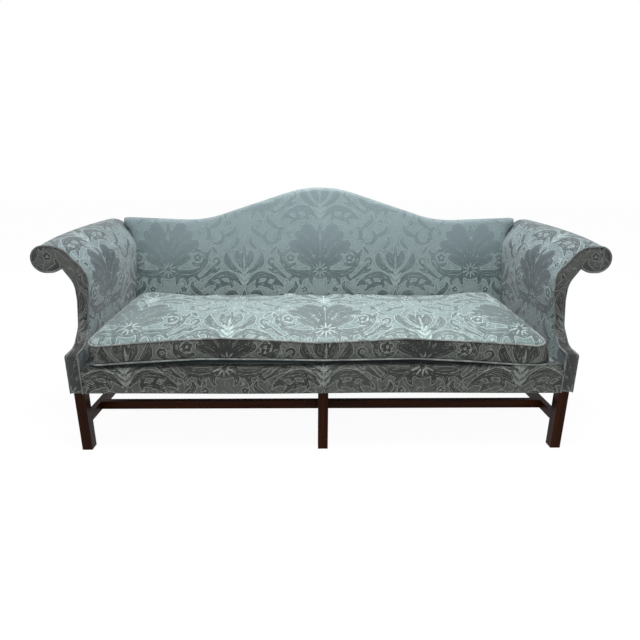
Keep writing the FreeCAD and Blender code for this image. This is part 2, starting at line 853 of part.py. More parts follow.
def zipper_pull():
    """Flat tab with an eye round the slider's pin, lying along the tape."""
    half = slider_width / 2 - ear_thickness - slider_gap
    eye = Part.makeCylinder(pull_eye_radius, 2 * half, V(slider_x, pin_height, -half), V(0, 0, 1))
    tab = block((slider_x - pull_length, pin_height - pull_thickness / 2, -half),
                (slider_x, pin_height + pull_thickness / 2, half))
    bore = Part.makeCylinder(pin_radius + slider_gap, slider_width,
                             V(slider_x, pin_height, -slider_width / 2), V(0, 0, 1))
    return on_boxing(eye.fuse(tab).cut(bore).removeSplitter())


def main():
    os.makedirs("parts", exist_ok=True)

    dowels = frame_dowels()
    blocks, screws = corner_blocks_and_screws()
    held = dowels + screws
    front_tenon = tenon(frame_front + rail_thickness / 2)
    rear_tenon = tenon(rail_rear - rail_thickness / 2)
    rear_legs = [less(rear_leg(-corner_leg, rail_top), *held),
                 rear_leg(0, rail_bottom).fuse(rear_tenon).removeSplitter(),
                 less(rear_leg(corner_leg, rail_top), *held)]
    for place, leg in zip(("left", "centre", "right"), rear_legs):
        export("rear_leg_" + place, leg)
    export("front_leg_left", less(front_leg(-corner_leg, rail_top), *held))
    export("front_leg_centre", front_leg(0, rail_bottom).fuse(front_tenon).removeSplitter())
    export("front_leg_right", less(front_leg(corner_leg, rail_top), *held))
    export_pair("side_stretcher", side_stretcher())
    export("centre_stretcher", centre_stretcher())
    export_pair("long_stretcher", long_stretcher())

    export("front_seat_rail", less(front_rail(), front_tenon, *held))
    export("rear_seat_rail", less(rear_rail(), rear_tenon, *held))
    export_pair("side_seat_rail", less(side_rail(), *held))
    export("seat_cross_rails", group(cross_rails()))
    export("corner_blocks", group(blocks))
    export("block_screws", group(screws))
    export("frame_dowels", group(dowels))

    outer = outside_arm()
    crest = crest_rail()
    back = back_post(crest).cut(outer)
    tack = back_tack_rail()
    burlap = back_burlap()
    post = arm_post().cut(outer)
    top_rail = arm_top_rail()
    low_rail = arm_tack_rail().cut(back)
    export("back_crest_rail", crest)
    export_pair("back_post", back)
    export("back_tack_rail", tack)
    export("back_uprights", group(back_uprights(crest)))
    export("back_webbing", group(back_webbing()))
    export("back_burlap", burlap)
    export_pair("arm_front_post", post)
    export_pair("arm_top_rail", top_rail)
    export_pair("arm_tack_rail", low_rail)

    arm = inside_arm(post, top_rail, low_rail, back, crest, tack, burlap, outer)
    export_pair("inside_arm", arm)
    export_pair("outside_arm", outer)
    export_pair("arm_front_panel", arm_front_panel())
    export_pair("arm_welt", arm_welt())
    padded_back = inside_back(arm, mirrored(arm), outer, mirrored(outer), crest)
    export("inside_back", padded_back)
    export("outside_back", less(outside_back(), *rear_legs))

    export("seat_springs", group(seat_springs()))
    export("spring_clips", group(spring_clips()))
    export("seat_burlap", seat_burlap())
    export("deck_pad", deck_pad(padded_back))
    export("front_edge_roll", front_edge_roll())
    export("front_border", front_border())
    export("dust_cover", dust_cover())
    export("dust_cover_tacks", group(dust_cover_tacks()))

    tape, chain = zipper_tape()
    under, boxing, over = cushion_parts(0)
    low_fill, middle_fill, high_fill = cushion_parts(cushion_cover)
    welts = [cushion_welt(lower_welt_height), cushion_welt(upper_welt_height)]
    core = low_fill.fuse(middle_fill).fuse(high_fill).removeSplitter()
    export("cushion_core", less(core, *welts))
    export("cushion_bottom_panel", less(under, core, *welts))
    export("cushion_boxing", less(boxing, core, *welts))
    export("cushion_top_panel", less(over, core, *welts))
    export("cushion_welt_lower", welts[0])
    export("cushion_welt_upper", welts[1])
    export("zipper_tape", group([tape, chain]))
    export("zipper_slider", zipper_slider())
    export("zipper_pull", zipper_pull())


main()
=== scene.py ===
# Camelback sofa with a loose seat cushion: frame, springs and upholstery in one damask.
# Metres, +Z up, the front faces -Y.
import math
import bpy
import numpy as np
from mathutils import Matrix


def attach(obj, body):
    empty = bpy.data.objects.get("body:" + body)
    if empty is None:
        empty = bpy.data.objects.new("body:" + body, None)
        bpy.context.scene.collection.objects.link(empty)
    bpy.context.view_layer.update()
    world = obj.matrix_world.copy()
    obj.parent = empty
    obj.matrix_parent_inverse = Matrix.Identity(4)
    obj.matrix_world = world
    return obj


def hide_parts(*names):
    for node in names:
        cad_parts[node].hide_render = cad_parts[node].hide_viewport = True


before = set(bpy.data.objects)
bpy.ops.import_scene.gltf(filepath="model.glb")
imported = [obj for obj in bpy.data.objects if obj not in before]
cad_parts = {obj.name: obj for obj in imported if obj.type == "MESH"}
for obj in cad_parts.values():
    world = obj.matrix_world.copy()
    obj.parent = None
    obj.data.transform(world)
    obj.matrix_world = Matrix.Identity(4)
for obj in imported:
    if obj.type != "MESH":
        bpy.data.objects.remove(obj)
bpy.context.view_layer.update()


# Camera
# Close in front of the middle of the sofa, a little above its back, looking down at the
# seat.
camera_data = bpy.data.cameras.new("viewpoint")
camera_data.sensor_width = 36
camera_data.lens = 27.56
camera_data.shift_x = 0.0064
camera = bpy.data.objects.new("viewpoint", camera_data)
camera.location = (-0.053, -2.0788, 1.0416)
camera.rotation_euler = (math.radians(90 - 17.25), math.radians(-0.19), math.radians(-0.78))
bpy.context.scene.collection.objects.link(camera)
bpy.context.scene.camera = camera
bpy.context.scene.view_settings.view_transform = "Standard"


# Studio
# A pale floor and an even white surround, with a broad soft lamp overhead
# and a weaker one in front.
class Value:
    """A number that varies over a surface: the operators add its Math nodes, and a | b
    is the greater of two."""

    def __init__(self, finish, socket):
        self.finish = finish
        self.socket = socket

    def maths(self, operation, first, second=0.0):
        return self.finish.node("ShaderNodeMath", {"operation": operation}, {0: first, 1: second})[0]

    def __add__(self, other):
        return self.maths("ADD", self, other)

    def __sub__(self, other):
        return self.maths("SUBTRACT", self, other)

    def __rsub__(self, other):
        return self.maths("SUBTRACT", other, self)

    def __mul__(self, other):
        return self.maths("MULTIPLY", self, other)

    def __or__(self, other):
        return self.maths("MAXIMUM", self, other)

    def __abs__(self):
        return self.maths("ABSOLUTE", self)

    __radd__ = __add__
    __rmul__ = __mul__


class Finish:
    """The nodes of one material or of the surround."""

    def __init__(self, owner):
        owner.use_nodes = True
        self.owner = owner
        self.tree = owner.node_tree
        self.tree.nodes.clear()

    def node(self, kind, settings={}, inputs={}):
        made = self.tree.nodes.new(kind)
        for name, setting in settings.items():
            setattr(made, name, setting)
        for name, given in inputs.items():
            if isinstance(given, Value):
                self.tree.links.new(given.socket, made.inputs[name])
            else:
                made.inputs[name].default_value = given
        return [Value(self, socket) for socket in made.outputs]

    def place(self):
        return self.node("ShaderNodeTexCoord")[3]

    def stretched(self, scale):
        return self.node("ShaderNodeMapping", inputs={"Vector": self.place(), "Scale": scale})[0]

    def noise(self, where, scale, detail=2.0, roughness=0.5):
        return self.node("ShaderNodeTexNoise", inputs={
            "Vector": where, "Scale": scale, "Detail": detail, "Roughness": roughness})[0]

    def between(self, value, low, high):
        """0 below low and 1 above high, with a smooth rise from the one to the other."""
        return self.node("ShaderNodeMapRange", {"interpolation_type": "SMOOTHSTEP"},
                         {"Value": value, "From Min": low, "From Max": high})[0]

    def mixed(self, share, first, second):
        """A mixture of two colours, each a Value or its red, green and blue."""
        first, second = [colour if isinstance(colour, Value) else (*colour, 1)
                         for colour in (first, second)]
        return self.node("ShaderNodeMix", {"data_type": "RGBA"}, {0: share, 6: first, 7: second})[2]

    def surface(self, colour, roughness, height=None, relief=0.001, **constants):
        """Ends the material with its shader and returns it."""
        inputs = {"Base Color": colour, "Roughness": roughness}
        for name, number in constants.items():
            inputs[name.replace("_", " ").title().replace("Ior", "IOR")] = number
        if height is not None:
            inputs["Normal"] = self.node("ShaderNodeBump", inputs={
                "Height": height, "Strength": 1.0, "Distance": relief})[0]
        shader = self.node("ShaderNodeBsdfPrincipled", inputs=inputs)[0]
        self.node("ShaderNodeOutputMaterial", inputs={"Surface": shader})
        return self.owner


def dimmed(colour, share):
    """A colour with a share of its brightness."""
    return tuple(share * number for number in colour)


surround = bpy.data.worlds.new("surround")
bpy.context.scene.world = surround
air = Finish(surround)
rays = air.node("ShaderNodeLightPath")
seen = rays[0] | rays[3] | rays[6]
soft = air.node("ShaderNodeBackground", inputs={"Color": (0.96, 0.98, 1.0, 1), "Strength": 0.36})[0]
white = air.node("ShaderNodeBackground", inputs={"Color": (1, 1, 1, 1), "Strength": 1.0})[0]
air.node("ShaderNodeOutputWorld", inputs={
    "Surface": air.node("ShaderNodeMixShader", inputs={0: seen, 1: soft, 2: white})[0]})

bpy.ops.object.select_all(action="DESELECT")
bpy.ops.mesh.primitive_plane_add(size=30)
floor = bpy.context.object
floor.name = "floor"
floor_paint = bpy.data.materials.new("pale_floor")
floor.data.materials.append(floor_paint)
paint = Finish(floor_paint)
matt = paint.node("ShaderNodeBsdfDiffuse", inputs={"Color": (0.8, 0.8, 0.8, 1)})[0]
glow = paint.node("ShaderNodeEmission", inputs={"Color": (1, 1, 1, 1), "Strength": 1.1})[0]
rays = paint.node("ShaderNodeLightPath")
bright = (rays[0] | rays[3]) * 0.86
paint.node("ShaderNodeOutputMaterial", inputs={
    "Surface": paint.node("ShaderNodeMixShader", inputs={0: bright, 1: matt, 2: glow})[0]})


def lamp(name, spot, aim, size, power):
    """A soft rectangular lamp that hangs at a spot and is aimed at another."""
    data = bpy.data.lights.new(name, "AREA")
    data.shape = "RECTANGLE"
    data.size, data.size_y = size
    data.energy = power
    made = bpy.data.objects.new(name, data)
    made.location = spot
    heading = np.array(aim) - np.array(spot)
    flat = math.hypot(heading[0], heading[1])
    made.rotation_euler = (math.atan2(flat, -heading[2]), 0, math.atan2(-heading[0], heading[1]))
    bpy.context.scene.collection.objects.link(made)


lamp("overhead_lamp", (0.1, 0.1, 2.6), (0, 0.1, 0), (2.6, 1.2), 66)
lamp("front_lamp", (-0.4, -3.2, 1.9), (0, 0, 0.5), (3.0, 1.6), 17)


# Legs and stretchers
# Solid mahogany, stained very dark and waxed: square legs under the seat rails, the
# three rear ones raked, with flat stretchers tenoned between them.
def wood(name, lengthwise, dark, light, roughness=0.38):
    """Grain that runs along one axis: long streaks, fine pores and a slow change of tone."""
    grain = Finish(bpy.data.materials.new(name))
    fine = [3.0 if axis == lengthwise else 90.0 for axis in range(3)]
    slow = [1.5 if axis == lengthwise else 14.0 for axis in range(3)]
    streaks = grain.noise(grain.stretched(fine), 1.0, 4.0, 0.6)
    pores = grain.noise(grain.stretched([8.0 * number for number in fine]), 1.0, 1.0)
    tone = grain.noise(grain.stretched(slow), 1.0, 2.0)
    share = grain.between(streaks * 0.55 + tone * 0.45, 0.32, 0.72)
    colour = grain.mixed(share, dark, light)
    colour = grain.mixed(grain.between(pores, 0.62, 0.75) * 0.5, colour, dimmed(dark, 0.45))
    wear = grain.noise(grain.place(), 6.0, 3.0)
    return grain.surface(
        colour, roughness + (wear - 0.5) * 0.25, streaks * 0.5 - pores * 0.3, 0.0006,
        specular_ior_level=0.06, coat_weight=0.01, coat_roughness=0.3)


def dress(material, finish, *names):
    """Gives CAD nodes a material."""
    for name in names:
        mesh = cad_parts[name].data
        mesh.materials.clear()
        mesh.materials.append(material)


mahogany = ((0.013, 0.0027, 0.0006), (0.052, 0.0125, 0.0024))
dress(wood("mahogany_upright", 2, *mahogany), "mahogany",
      "front_leg_left", "front_leg_centre", "front_leg_right",
      "rear_leg_left", "rear_leg_centre", "rear_leg_right")
dress(wood("mahogany_across", 0, *mahogany), "mahogany",
      "long_stretcher_left", "long_stretcher_right")
dress(wood("mahogany_deep", 1, *mahogany), "mahogany",
      "side_stretcher_left", "side_stretcher_right", "centre_stretcher")


# Hidden frame
# Rails, posts and blocks of plain kiln-dried hardwood, left as sawn, joined by
# beech dowels, glue blocks and steel screws.
hardwood = ((0.24, 0.14, 0.07), (0.42, 0.28, 0.16))
dress(wood("hardwood_across", 0, *hardwood, 0.7), "frame_hardwood",
      "front_seat_rail", "rear_seat_rail", "back_crest_rail", "back_tack_rail", "frame_dowels")
dress(wood("hardwood_deep", 1, *hardwood, 0.7), "frame_hardwood",
      "side_seat_rail_left", "side_seat_rail_right", "seat_cross_rails", "corner_blocks",
      "arm_top_rail_left", "arm_top_rail_right", "arm_tack_rail_left", "arm_tack_rail_right")
dress(wood("hardwood_upright", 2, *hardwood, 0.7), "frame_hardwood",
      "back_post_left", "back_post_right", "back_uprights",
      "arm_front_post_left", "arm_front_post_right")


def metal(name, colour, roughness):
    """Drawn or stamped metal with fine scratches and faint stains."""
    skin = Finish(bpy.data.materials.new(name))
    scratches = skin.noise(skin.stretched((900, 900, 60)), 1.0, 2.0)
    stains = skin.noise(skin.place(), 35.0, 3.0)
    shade = skin.mixed(skin.between(stains, 0.45, 0.75), colour, dimmed(colour, 0.55))
    return skin.surface(shade, roughness + (scratches - 0.5) * 0.2, scratches, 0.00005,
                        metallic=1.0)


dress(metal("steel_wire", (0.42, 0.42, 0.43), 0.35), "steel",
      "block_screws", "seat_springs", "spring_clips", "dust_cover_tacks")


# Webbing and hessian
# Jute straps tacked up the back, and plain-woven jute cloth over them and over the
# seat's springs, which carries the padding.
def coarse_cloth(name, colour, thread, contrast=0.5, roughness=0.95):
    """Plain weave with threads of uneven thickness."""
    cloth = Finish(bpy.data.materials.new(name))
    across = cloth.noise(cloth.stretched((1 / thread, 8.0, 1 / thread)), 1.0, 1.0)
    upward = cloth.noise(cloth.stretched((8.0, 1 / thread, 8.0)), 1.0, 1.0)
    slubs = cloth.noise(cloth.place(), 22.0, 3.0)
    weave = across * 0.5 + upward * 0.5
    shade = cloth.mixed(cloth.between(weave * 0.7 + slubs * 0.3, 0.35, 0.6),
                        dimmed(colour, 1 - contrast), colour)
    return cloth.surface(shade, roughness - slubs * 0.1, weave, 0.0006, specular_ior_level=0.2)


dress(coarse_cloth("jute", (0.42, 0.30, 0.17), 0.0015), "jute",
      "back_webbing", "back_burlap", "seat_burlap")


# Zipper
# Cotton tape with its chain, sewn into the rear boxing of the cushion, with a cast brass
# slider that runs along it and a flat pull.
dress(coarse_cloth("zipper_tape_weave", (0.20, 0.24, 0.25), 0.0006, 0.3), "tape", "zipper_tape")
dress(metal("zipper_brass", (0.60, 0.47, 0.25), 0.3), "zipper_metal", "zipper_slider", "zipper_pull")


# Inside back
# Damask drawn tight over cotton felt and hessian, from the tack rail up over the roll on
# the camel-shaped crest rail, tucked in along both arms. Its big figure sits on the middle.
def fillet(corner, before, after, radius, step):
    """Points on the arc that rounds one corner of an outline."""
    back = (before - corner) / np.linalg.norm(before - corner)
    ahead = (after - corner) / np.linalg.norm(after - corner)
    half = math.acos(max(-1.0, min(1.0, float(back @ ahead)))) / 2
    if radius == 0 or math.pi / 2 - half < 1e-3:
        return [corner]
    bisector = (back + ahead) / np.linalg.norm(back + ahead)
    centre = corner + bisector * radius / math.sin(half)
    first = corner + back * radius / math.tan(half) - centre
    last = corner + ahead * radius / math.tan(half) - centre
    turn = math.acos(max(-1.0, min(1.0, float(first @ last) / radius ** 2)))
    count = max(3, int(turn * radius / step))
    return [centre + (first * math.sin((1 - k / count) * turn) + last * math.sin(k / count * turn))
            / math.sin(turn) for k in range(count + 1)]


def outline(points, step=0.004):
    """An open outline from (a, b) or (a, b, radius) corners, as close points."""
    spots = [np.array(point[:2], float) for point in points]
    line = [spots[0]]
    for k in range(1, len(spots) - 1):
        radius = points[k][2] if len(points[k]) > 2 else 0.0
        line += fillet(spots[k], spots[k - 1], spots[k + 1], radius, step)
    line.append(spots[-1])
    return np.array(line)


def lengths(line):
    """How far along a line each of its points lies."""
    return np.r_[0, np.cumsum(np.linalg.norm(np.diff(line, axis=0), axis=1))]


def spaced(line, count):
    """The same line through count points at even steps."""
    steps = lengths(line)
    wanted = np.linspace(0, steps[-1], count)
    return np.stack([np.interp(wanted, steps, line[:, k]) for k in range(line.shape[1])], 1)


def grid_cloth(name, across, along):
    """A flat square of cloth, and its points from 0 to 1."""
    bpy.ops.object.select_all(action="DESELECT")
    bpy.ops.mesh.primitive_grid_add(x_subdivisions=across, y_subdivisions=along, size=1)
    piece = bpy.context.object
    piece.name = name
    return piece, points_of(piece)[:, :2] + 0.5


def read(items, field, width=1, kind=float):
    """One field of mesh elements: a number each, or a row of numbers each."""
    flat = np.empty(len(items) * width, kind)
    items.foreach_get(field, flat)
    return flat if width == 1 else flat.reshape(-1, width)


def points_of(piece):
    """The vertices' places, one in each row."""
    return read(piece.data.vertices, "co", 3)


def moved_to(piece, points):
    """Puts the vertices at new places."""
    piece.data.vertices.foreach_set("co", np.ascontiguousarray(points, float).ravel())
    piece.data.update()


def corners_of(mesh):
    """The vertex at each corner of the faces."""
    return read(mesh.loops, "vertex_index", kind=int)


def walled(piece, thickness):
    """Gives a cloth its thickness, inwards."""
    wall = piece.modifiers.new("wall", "SOLIDIFY")
    wall.thickness = thickness
    wall.offset = -1
    bpy.ops.object.modifier_apply(modifier="wall")


def fitted(piece, spots, cloth, outward, thickness):
    """Sets a cloth's points in space, writes its cloth coordinates in metres, turns it
    outwards and gives it a thickness inwards."""
    mesh = piece.data
    moved_to(piece, spots)
    while mesh.uv_layers:
        mesh.uv_layers.remove(mesh.uv_layers[0])
    layer = mesh.uv_layers.new(name="cloth")
    layer.data.foreach_set("uv", np.ascontiguousarray(cloth[corners_of(mesh)], float).ravel())
    mesh.update()
    if read(mesh.polygons, "normal", 3).sum(0) @ np.array(outward, float) < 0:
        mesh.flip_normals()
    if thickness:
        walled(piece, thickness)
    bpy.ops.object.shade_smooth()
    return piece


def sheet_of(name, across, along, place, outward, thickness=0.003):
    """A fitted cover: a grid whose points place(s, t) sets in space."""
    piece, shares = grid_cloth(name, across, along)
    spots, cloth = place(shares[:, 0], shares[:, 1])
    return fitted(piece, spots, cloth, outward, thickness)


# The figure of the damask, drawn on squared paper from the middle of a palmette's star
# flower: strokes as (x, y, half width), counted in squares, of which the half to the right
# of the axis is given. The next column of figures stands half a repeat up. The drawing is
# measured once, on a fine grid.
paper_square = 0.001
column = 0.364
row = 0.32
draft_step = 0.0013


def arc(x, y, radius, start, end, width, count=9):
    """A curved stroke of even width round a point, between two angles."""
    turns = np.radians(np.linspace(start, end, count))
    return [(x + radius * math.cos(turn), y + radius * math.sin(turn), width) for turn in turns]


def rosette(x, y, radius):
    """The five round petals of a small flower."""
    return [[(x + radius * math.cos(turn), y + radius * math.sin(turn), 0.62 * radius)] * 2
            for turn in np.radians([18, 90, 162, 234, 306])]


figure_strokes = [
    # palmette: a fan of lobes
    [(0, 30, 14), (0, 120, 18), (0, 180, 13), (0, 226, 2)],
    [(0, 20, 10), (12, 110, 22), (40, 165, 30), (60, 192, 32)],
    [(0, 20, 10), (38, 100, 26), (82, 150, 26), (100, 168, 20)],
    [(5, 20, 10), (60, 78, 24), (108, 112, 26), (130, 122, 21)],
    [(5, 10, 10), (55, 38, 20), (88, 55, 18), (100, 60, 10)],
    [(0, 0, 46), (0, 20, 46)],
    # volute round a small flower
    arc(142, 57, 35, -125, 128, 8.5, 19),
    [(124, 86, 7), (110, 98, 10), (104, 108, 3)],
    *rosette(142, 57, 13.5),
    # acanthus under it, with its lobes
    [(20, -10, 10), (70, -22, 21), (120, -16, 17), (160, 6, 11), (186, 46, 8), (184, 85, 2)],
    [(40, -20, 12), (45, -50, 10), (36, -72, 3)],
    [(75, -26, 12), (92, -56, 9), (90, -76, 2)],
    [(120, -20, 10), (142, -44, 7), (150, -58, 2)],
    [(178, 60, 4), (196, 80, 8), (200, 104, 2)],
    # branch that curls back on itself
    [(150, -46, 3), (188, -20, 9), (220, 12, 9), (246, 34, 6),
     (240, 54, 5), (222, 50, 4), (218, 36, 4), (228, 30, 3)],
    [(200, -14, 4), (224, -8, 9), (250, 6, 3)],
    # long leaf to the tulip
    [(186, -60, 2), (232, -34, 12), (280, -24, 17), (322, -42, 14), (352, -76, 3)],
    [(240, -36, 6), (262, -66, 8), (262, -86, 2)],
    [(290, -30, 7), (306, -70, 7), (300, -92, 2)],
    # tulip on the next axis
    [(364, -12, 6), (347, 28, 14), (334, 60, 18), (332, 86, 8)],
    [(352, -18, 4), (312, 6, 13), (284, 42, 18), (280, 78, 6)],
    [(364, 20, 8), (364, 70, 11), (364, 120, 2)],
    [(300, 96, 2), (318, 112, 8), (334, 136, 9), (326, 158, 3)],
    # sprays between the rows
    [(205, 112, 2), (222, 94, 8), (236, 72, 3)],
    [(214, 128, 3), (246, 128, 10), (266, 156, 10), (250, 190, 3)],
    [(262, 156, 4), (296, 170, 12), (322, 194, 9), (318, 216, 2)],
    [(180, 142, 2), (196, 160, 10), (190, 192, 10), (168, 206, 2)],
    [(196, 196, 3), (226, 214, 12), (250, 240, 10), (244, 268, 2)],
    [(52, 246, 2), (88, 252, 10), (122, 240, 10), (146, 218, 3)],
    [(122, 240, 3), (150, 256, 10), (176, 250, 8), (190, 232, 2)],
    *rosette(206, 140, 8.5),
    *rosette(290, 226, 9.5),
    *rosette(150, 176, 7.5),
]
line_strokes = [
    # veins of the palmette
    [(0, 52, 1.2), (0, 150, 1.8), (0, 156, 3), (0, 200, 0.8)],
    [(0, 140, 1.6), (12, 162, 1.6), (24, 168, 0.6)],
    [(10, 60, 1), (22, 110, 1.6), (34, 142, 1.6), (34, 166, 0.6)],
    [(20, 55, 1), (52, 106, 1.6), (82, 134, 1.4), (98, 140, 0.6)],
    [(28, 44, 1), (72, 66, 1.6), (104, 82, 1.2), (116, 84, 0.6)],
    arc(36, 78, 17, -150, 130, 1.3, 15),
    # petals of the star flower
    *[[(11 * math.sin(turn), 11 * math.cos(turn), 2.2),
       (26 * math.sin(turn), 26 * math.cos(turn), 3.4),
       (44 * math.sin(turn), 44 * math.cos(turn), 0.6)]
      for turn in np.radians([0, 36, 72, 108, 144, 180])],
    # veins of the leaves
    [(30, -14, 0.8), (75, -24, 2.2), (125, -18, 1.6), (165, 8, 1.4), (184, 44, 0.6)],
    [(210, -46, 0.6), (245, -32, 1.8), (285, -28, 2), (324, -44, 0.8)],
    [(364, -80, 2), (364, 0, 3), (364, 40, 4), (364, 90, 0.8)],
    # the sprig of pale leaves that stands under the tulip
    [(364, -72, 3), (350, -58, 5), (336, -40, 1.2)],
    [(364, -46, 3.4), (348, -28, 5), (336, -10, 1.2)],
    [(364, -20, 3), (352, 0, 4), (344, 16, 1)],
    [(352, 12, 0.6), (338, 44, 1.8), (334, 76, 0.6)],
    [(336, 4, 0.6), (300, 30, 1.8), (285, 62, 0.6)],
    [(222, 134, 0.6), (252, 146, 1.6), (258, 172, 0.6)],
    [(204, 200, 0.6), (232, 222, 1.6), (244, 252, 0.6)],
    [(70, 250, 0.6), (110, 244, 1.4), (138, 226, 0.6)],
]


def dense(strokes, step=0.0016):
    """Every stroke as close circles: x, y and radius, in metres."""
    circles = []
    for stroke in strokes:
        knots = np.array(stroke, float) * paper_square
        smooth = []
        for k in range(len(knots) - 1):
            first, last = knots[max(k - 1, 0)], knots[min(k + 2, len(knots) - 1)]
            here, there = knots[k], knots[k + 1]
            count = max(2, int(np.linalg.norm(there[:2] - here[:2]) / step))
            for share in np.linspace(0, 1, count, endpoint=False):
                smooth.append(here + 0.5 * share * (
                    there - first + share * (2 * first - 5 * here + 4 * there - last
                                             + share * (3 * (here - there) + last - first))))
        circles += smooth + [knots[-1]]
    circles = np.array(circles)
    circles[:, 2] = np.maximum(circles[:, 2], 0.0004)
    return circles


def drafted(circles):
    """Distance to the drawing, negative inside it, over one repeat of the right half."""
    x = np.arange(0, column + draft_step, draft_step)
    y = np.arange(-0.5 * row, 0.5 * row + draft_step, draft_step)
    here = np.stack(np.meshgrid(x, y, indexing="ij"), -1).reshape(-1, 2)
    reach = np.full(len(here), 1.0)
    for rung in (-1, 0, 1):
        spot = here - (0, rung * row)
        if rung:
            spot[:, 0] = column - spot[:, 0]
        for start in range(0, len(spot), 3000):
            part = slice(start, start + 3000)
            gap = np.hypot(spot[part, :1] - circles[:, 0], spot[part, 1:] - circles[:, 1])
            reach[part] = np.minimum(reach[part], (gap - circles[:, 2]).min(1))
    return reach.reshape(len(x), len(y))


drafts = {"figure": drafted(dense(figure_strokes)), "fine_lines": drafted(dense(line_strokes))}


def drawing(cloth, draft):
    """Reads a drafted drawing at cloth points: it repeats, mirrored and half a step up."""
    rung = np.round(cloth[:, 1] / row)
    x = cloth[:, 0] + column * (rung % 2)
    x = np.abs((x + column) % (2 * column) - column) / draft_step
    y = (cloth[:, 1] - rung * row + 0.5 * row) / draft_step
    i = np.clip(x.astype(int), 0, draft.shape[0] - 2)
    j = np.clip(y.astype(int), 0, draft.shape[1] - 2)
    u, v = x - i, y - j
    return ((draft[i, j] * (1 - u) + draft[i + 1, j] * u) * (1 - v)
            + (draft[i, j + 1] * (1 - u) + draft[i + 1, j + 1] * u) * v)


def figured(piece):
    """Works out the damask's figure and its fine lines at every point of a cover."""
    mesh = piece.data
    cloth = np.zeros((len(mesh.vertices), 2))
    cloth[corners_of(mesh)] = read(mesh.uv_layers["cloth"].data, "uv", 2)
    for name, draft in drafts.items():
        layer = mesh.attributes.new(name, "FLOAT", "POINT")
        layer.data.foreach_set("value", np.clip(drawing(cloth, draft), -0.02, 0.02))


def damask(name, ground, figure, thread, sheen=0.35, painted_sheen=None, seams=None):
    """Satin figure on a duller ground, with paler edges and veins, woven fine. A painted sheen
    pales the figure higher up: the height where it starts, the height where it is full, how
    much, and its paler colour. Seams are the two heights on the cloth beyond which a painted shadow
    darkens it."""
    cloth = Finish(bpy.data.materials.new(name))
    where = cloth.node("ShaderNodeUVMap", {"uv_map": "cloth"})[0]
    edge = cloth.node("ShaderNodeAttribute", {"attribute_name": "figure"})[2]
    veins = cloth.node("ShaderNodeAttribute", {"attribute_name": "fine_lines"})[2]
    wander = cloth.noise(where, 190.0, 2.0) - 0.5
    edge = edge + wander * 0.0030 + (cloth.noise(where, 48.0, 2.0) - 0.5) * 0.0075

    def line(middle, half_width):
        return cloth.between(half_width - abs(edge - middle), -0.0004, 0.0004)

    inside = cloth.between(0.0 - edge, -0.0008, 0.0008)
    broken = cloth.between(cloth.noise(where, 38.0, 2.0), 0.45, 0.56)
    inside = inside | line(0.0078, 0.0016) * broken * 0.75
    vein = cloth.between(0.0 - veins, -0.0008, 0.0008)
    curls = cloth.between(0.022 - abs(cloth.noise(where, 30.0, 1.0, 0.4) - 0.5), 0.0, 0.010)
    flecks = cloth.between(cloth.noise(where, 210.0, 2.0, 0.6), 0.60, 0.68)
    pale = (vein * 0.85 | line(0.0008, 0.0013) * 0.75
            | line(-0.0058, 0.0009) * (1.0 - broken) * 0.60
            | line(-0.0118, 0.0009) * broken * 0.50
            | curls * cloth.between(edge, 0.003, 0.006) * 0.55 | flecks * 0.20)
    pale = pale * (0.55 + 0.45 * cloth.between(cloth.noise(where, 95.0, 1.0), 0.38, 0.52))
    slow = cloth.noise(where, 3.2, 3.0, 0.55)
    mottle = cloth.noise(where, 70.0, 3.0, 0.6)
    shade = cloth.mixed(inside, ground, figure)
    shade = cloth.mixed(pale, shade, thread)
    # Painted sheen: higher up, the figure pales towards a lighter colour, where the satin's shine
    # would wash it out.
    if painted_sheen:
        height = cloth.node("ShaderNodeSeparateXYZ", inputs={"Vector": cloth.place()})[2]
        high = cloth.between(height + (slow - 0.5) * 0.12, painted_sheen[0], painted_sheen[1]) * painted_sheen[2]
        shade = cloth.mixed(high, shade, painted_sheen[3])
    faded = tuple(0.5 * (one + two) for one, two in zip(ground, thread))
    shade = cloth.mixed(cloth.between(slow, 0.42, 0.75) * 0.15, shade, faded)
    shade = cloth.mixed(cloth.between(mottle, 0.52, 0.8) * 0.30, shade, dimmed(ground, 0.72))
    # Painted shadow: the cloth next to both seams is darkened, where the cords shade it.
    if seams:
        upward = cloth.node("ShaderNodeSeparateXYZ", inputs={"Vector": where})[1]
        painted_seam_shadow = (cloth.between(seams[0] + 0.005 - upward, 0.0, 0.005)
                  | cloth.between(upward - seams[1] + 0.007, 0.0, 0.006))
        shade = cloth.mixed(painted_seam_shadow * 0.85, shade, dimmed(ground, 0.14))
    ribs = cloth.node("ShaderNodeMapping", inputs={"Vector": where, "Scale": (250, 1400, 1)})[0]
    warp = cloth.node("ShaderNodeMapping", inputs={"Vector": where, "Scale": (1400, 250, 1)})[0]
    weave = cloth.noise(ribs, 1.0, 1.0) * 0.5 + cloth.noise(warp, 1.0, 1.0) * 0.5
    relief = weave * 0.5 + inside * 0.5 + mottle * 0.4
    return cloth.surface(
        shade, 0.72 - inside * 0.18 + (mottle - 0.5) * 0.15, relief, 0.0005,
        specular_ior_level=0.35, sheen_weight=sheen, sheen_roughness=0.45)


def stand_for(piece, material, finish, body, *nodes):
    """Gives a piece its material and puts it in the place of CAD nodes."""
    piece.data.materials.append(material)
    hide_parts(*nodes)
    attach(piece, body)


def upholster(cover, cloth, fill, *nodes, body="sofa"):
    """Puts a padded cover of damask in the place of CAD nodes."""
    figured(cover)
    stand_for(cover, cloth, "damask", body, *nodes)


rake = math.radians(15.9)
seat_back = 0.1808
rail_top = 0.320
back_figure = 0.262
hump_height, corner_height = 0.950, 0.797
roll_radius, roll_depth, roll_drop = 0.026, 0.055, 0.05


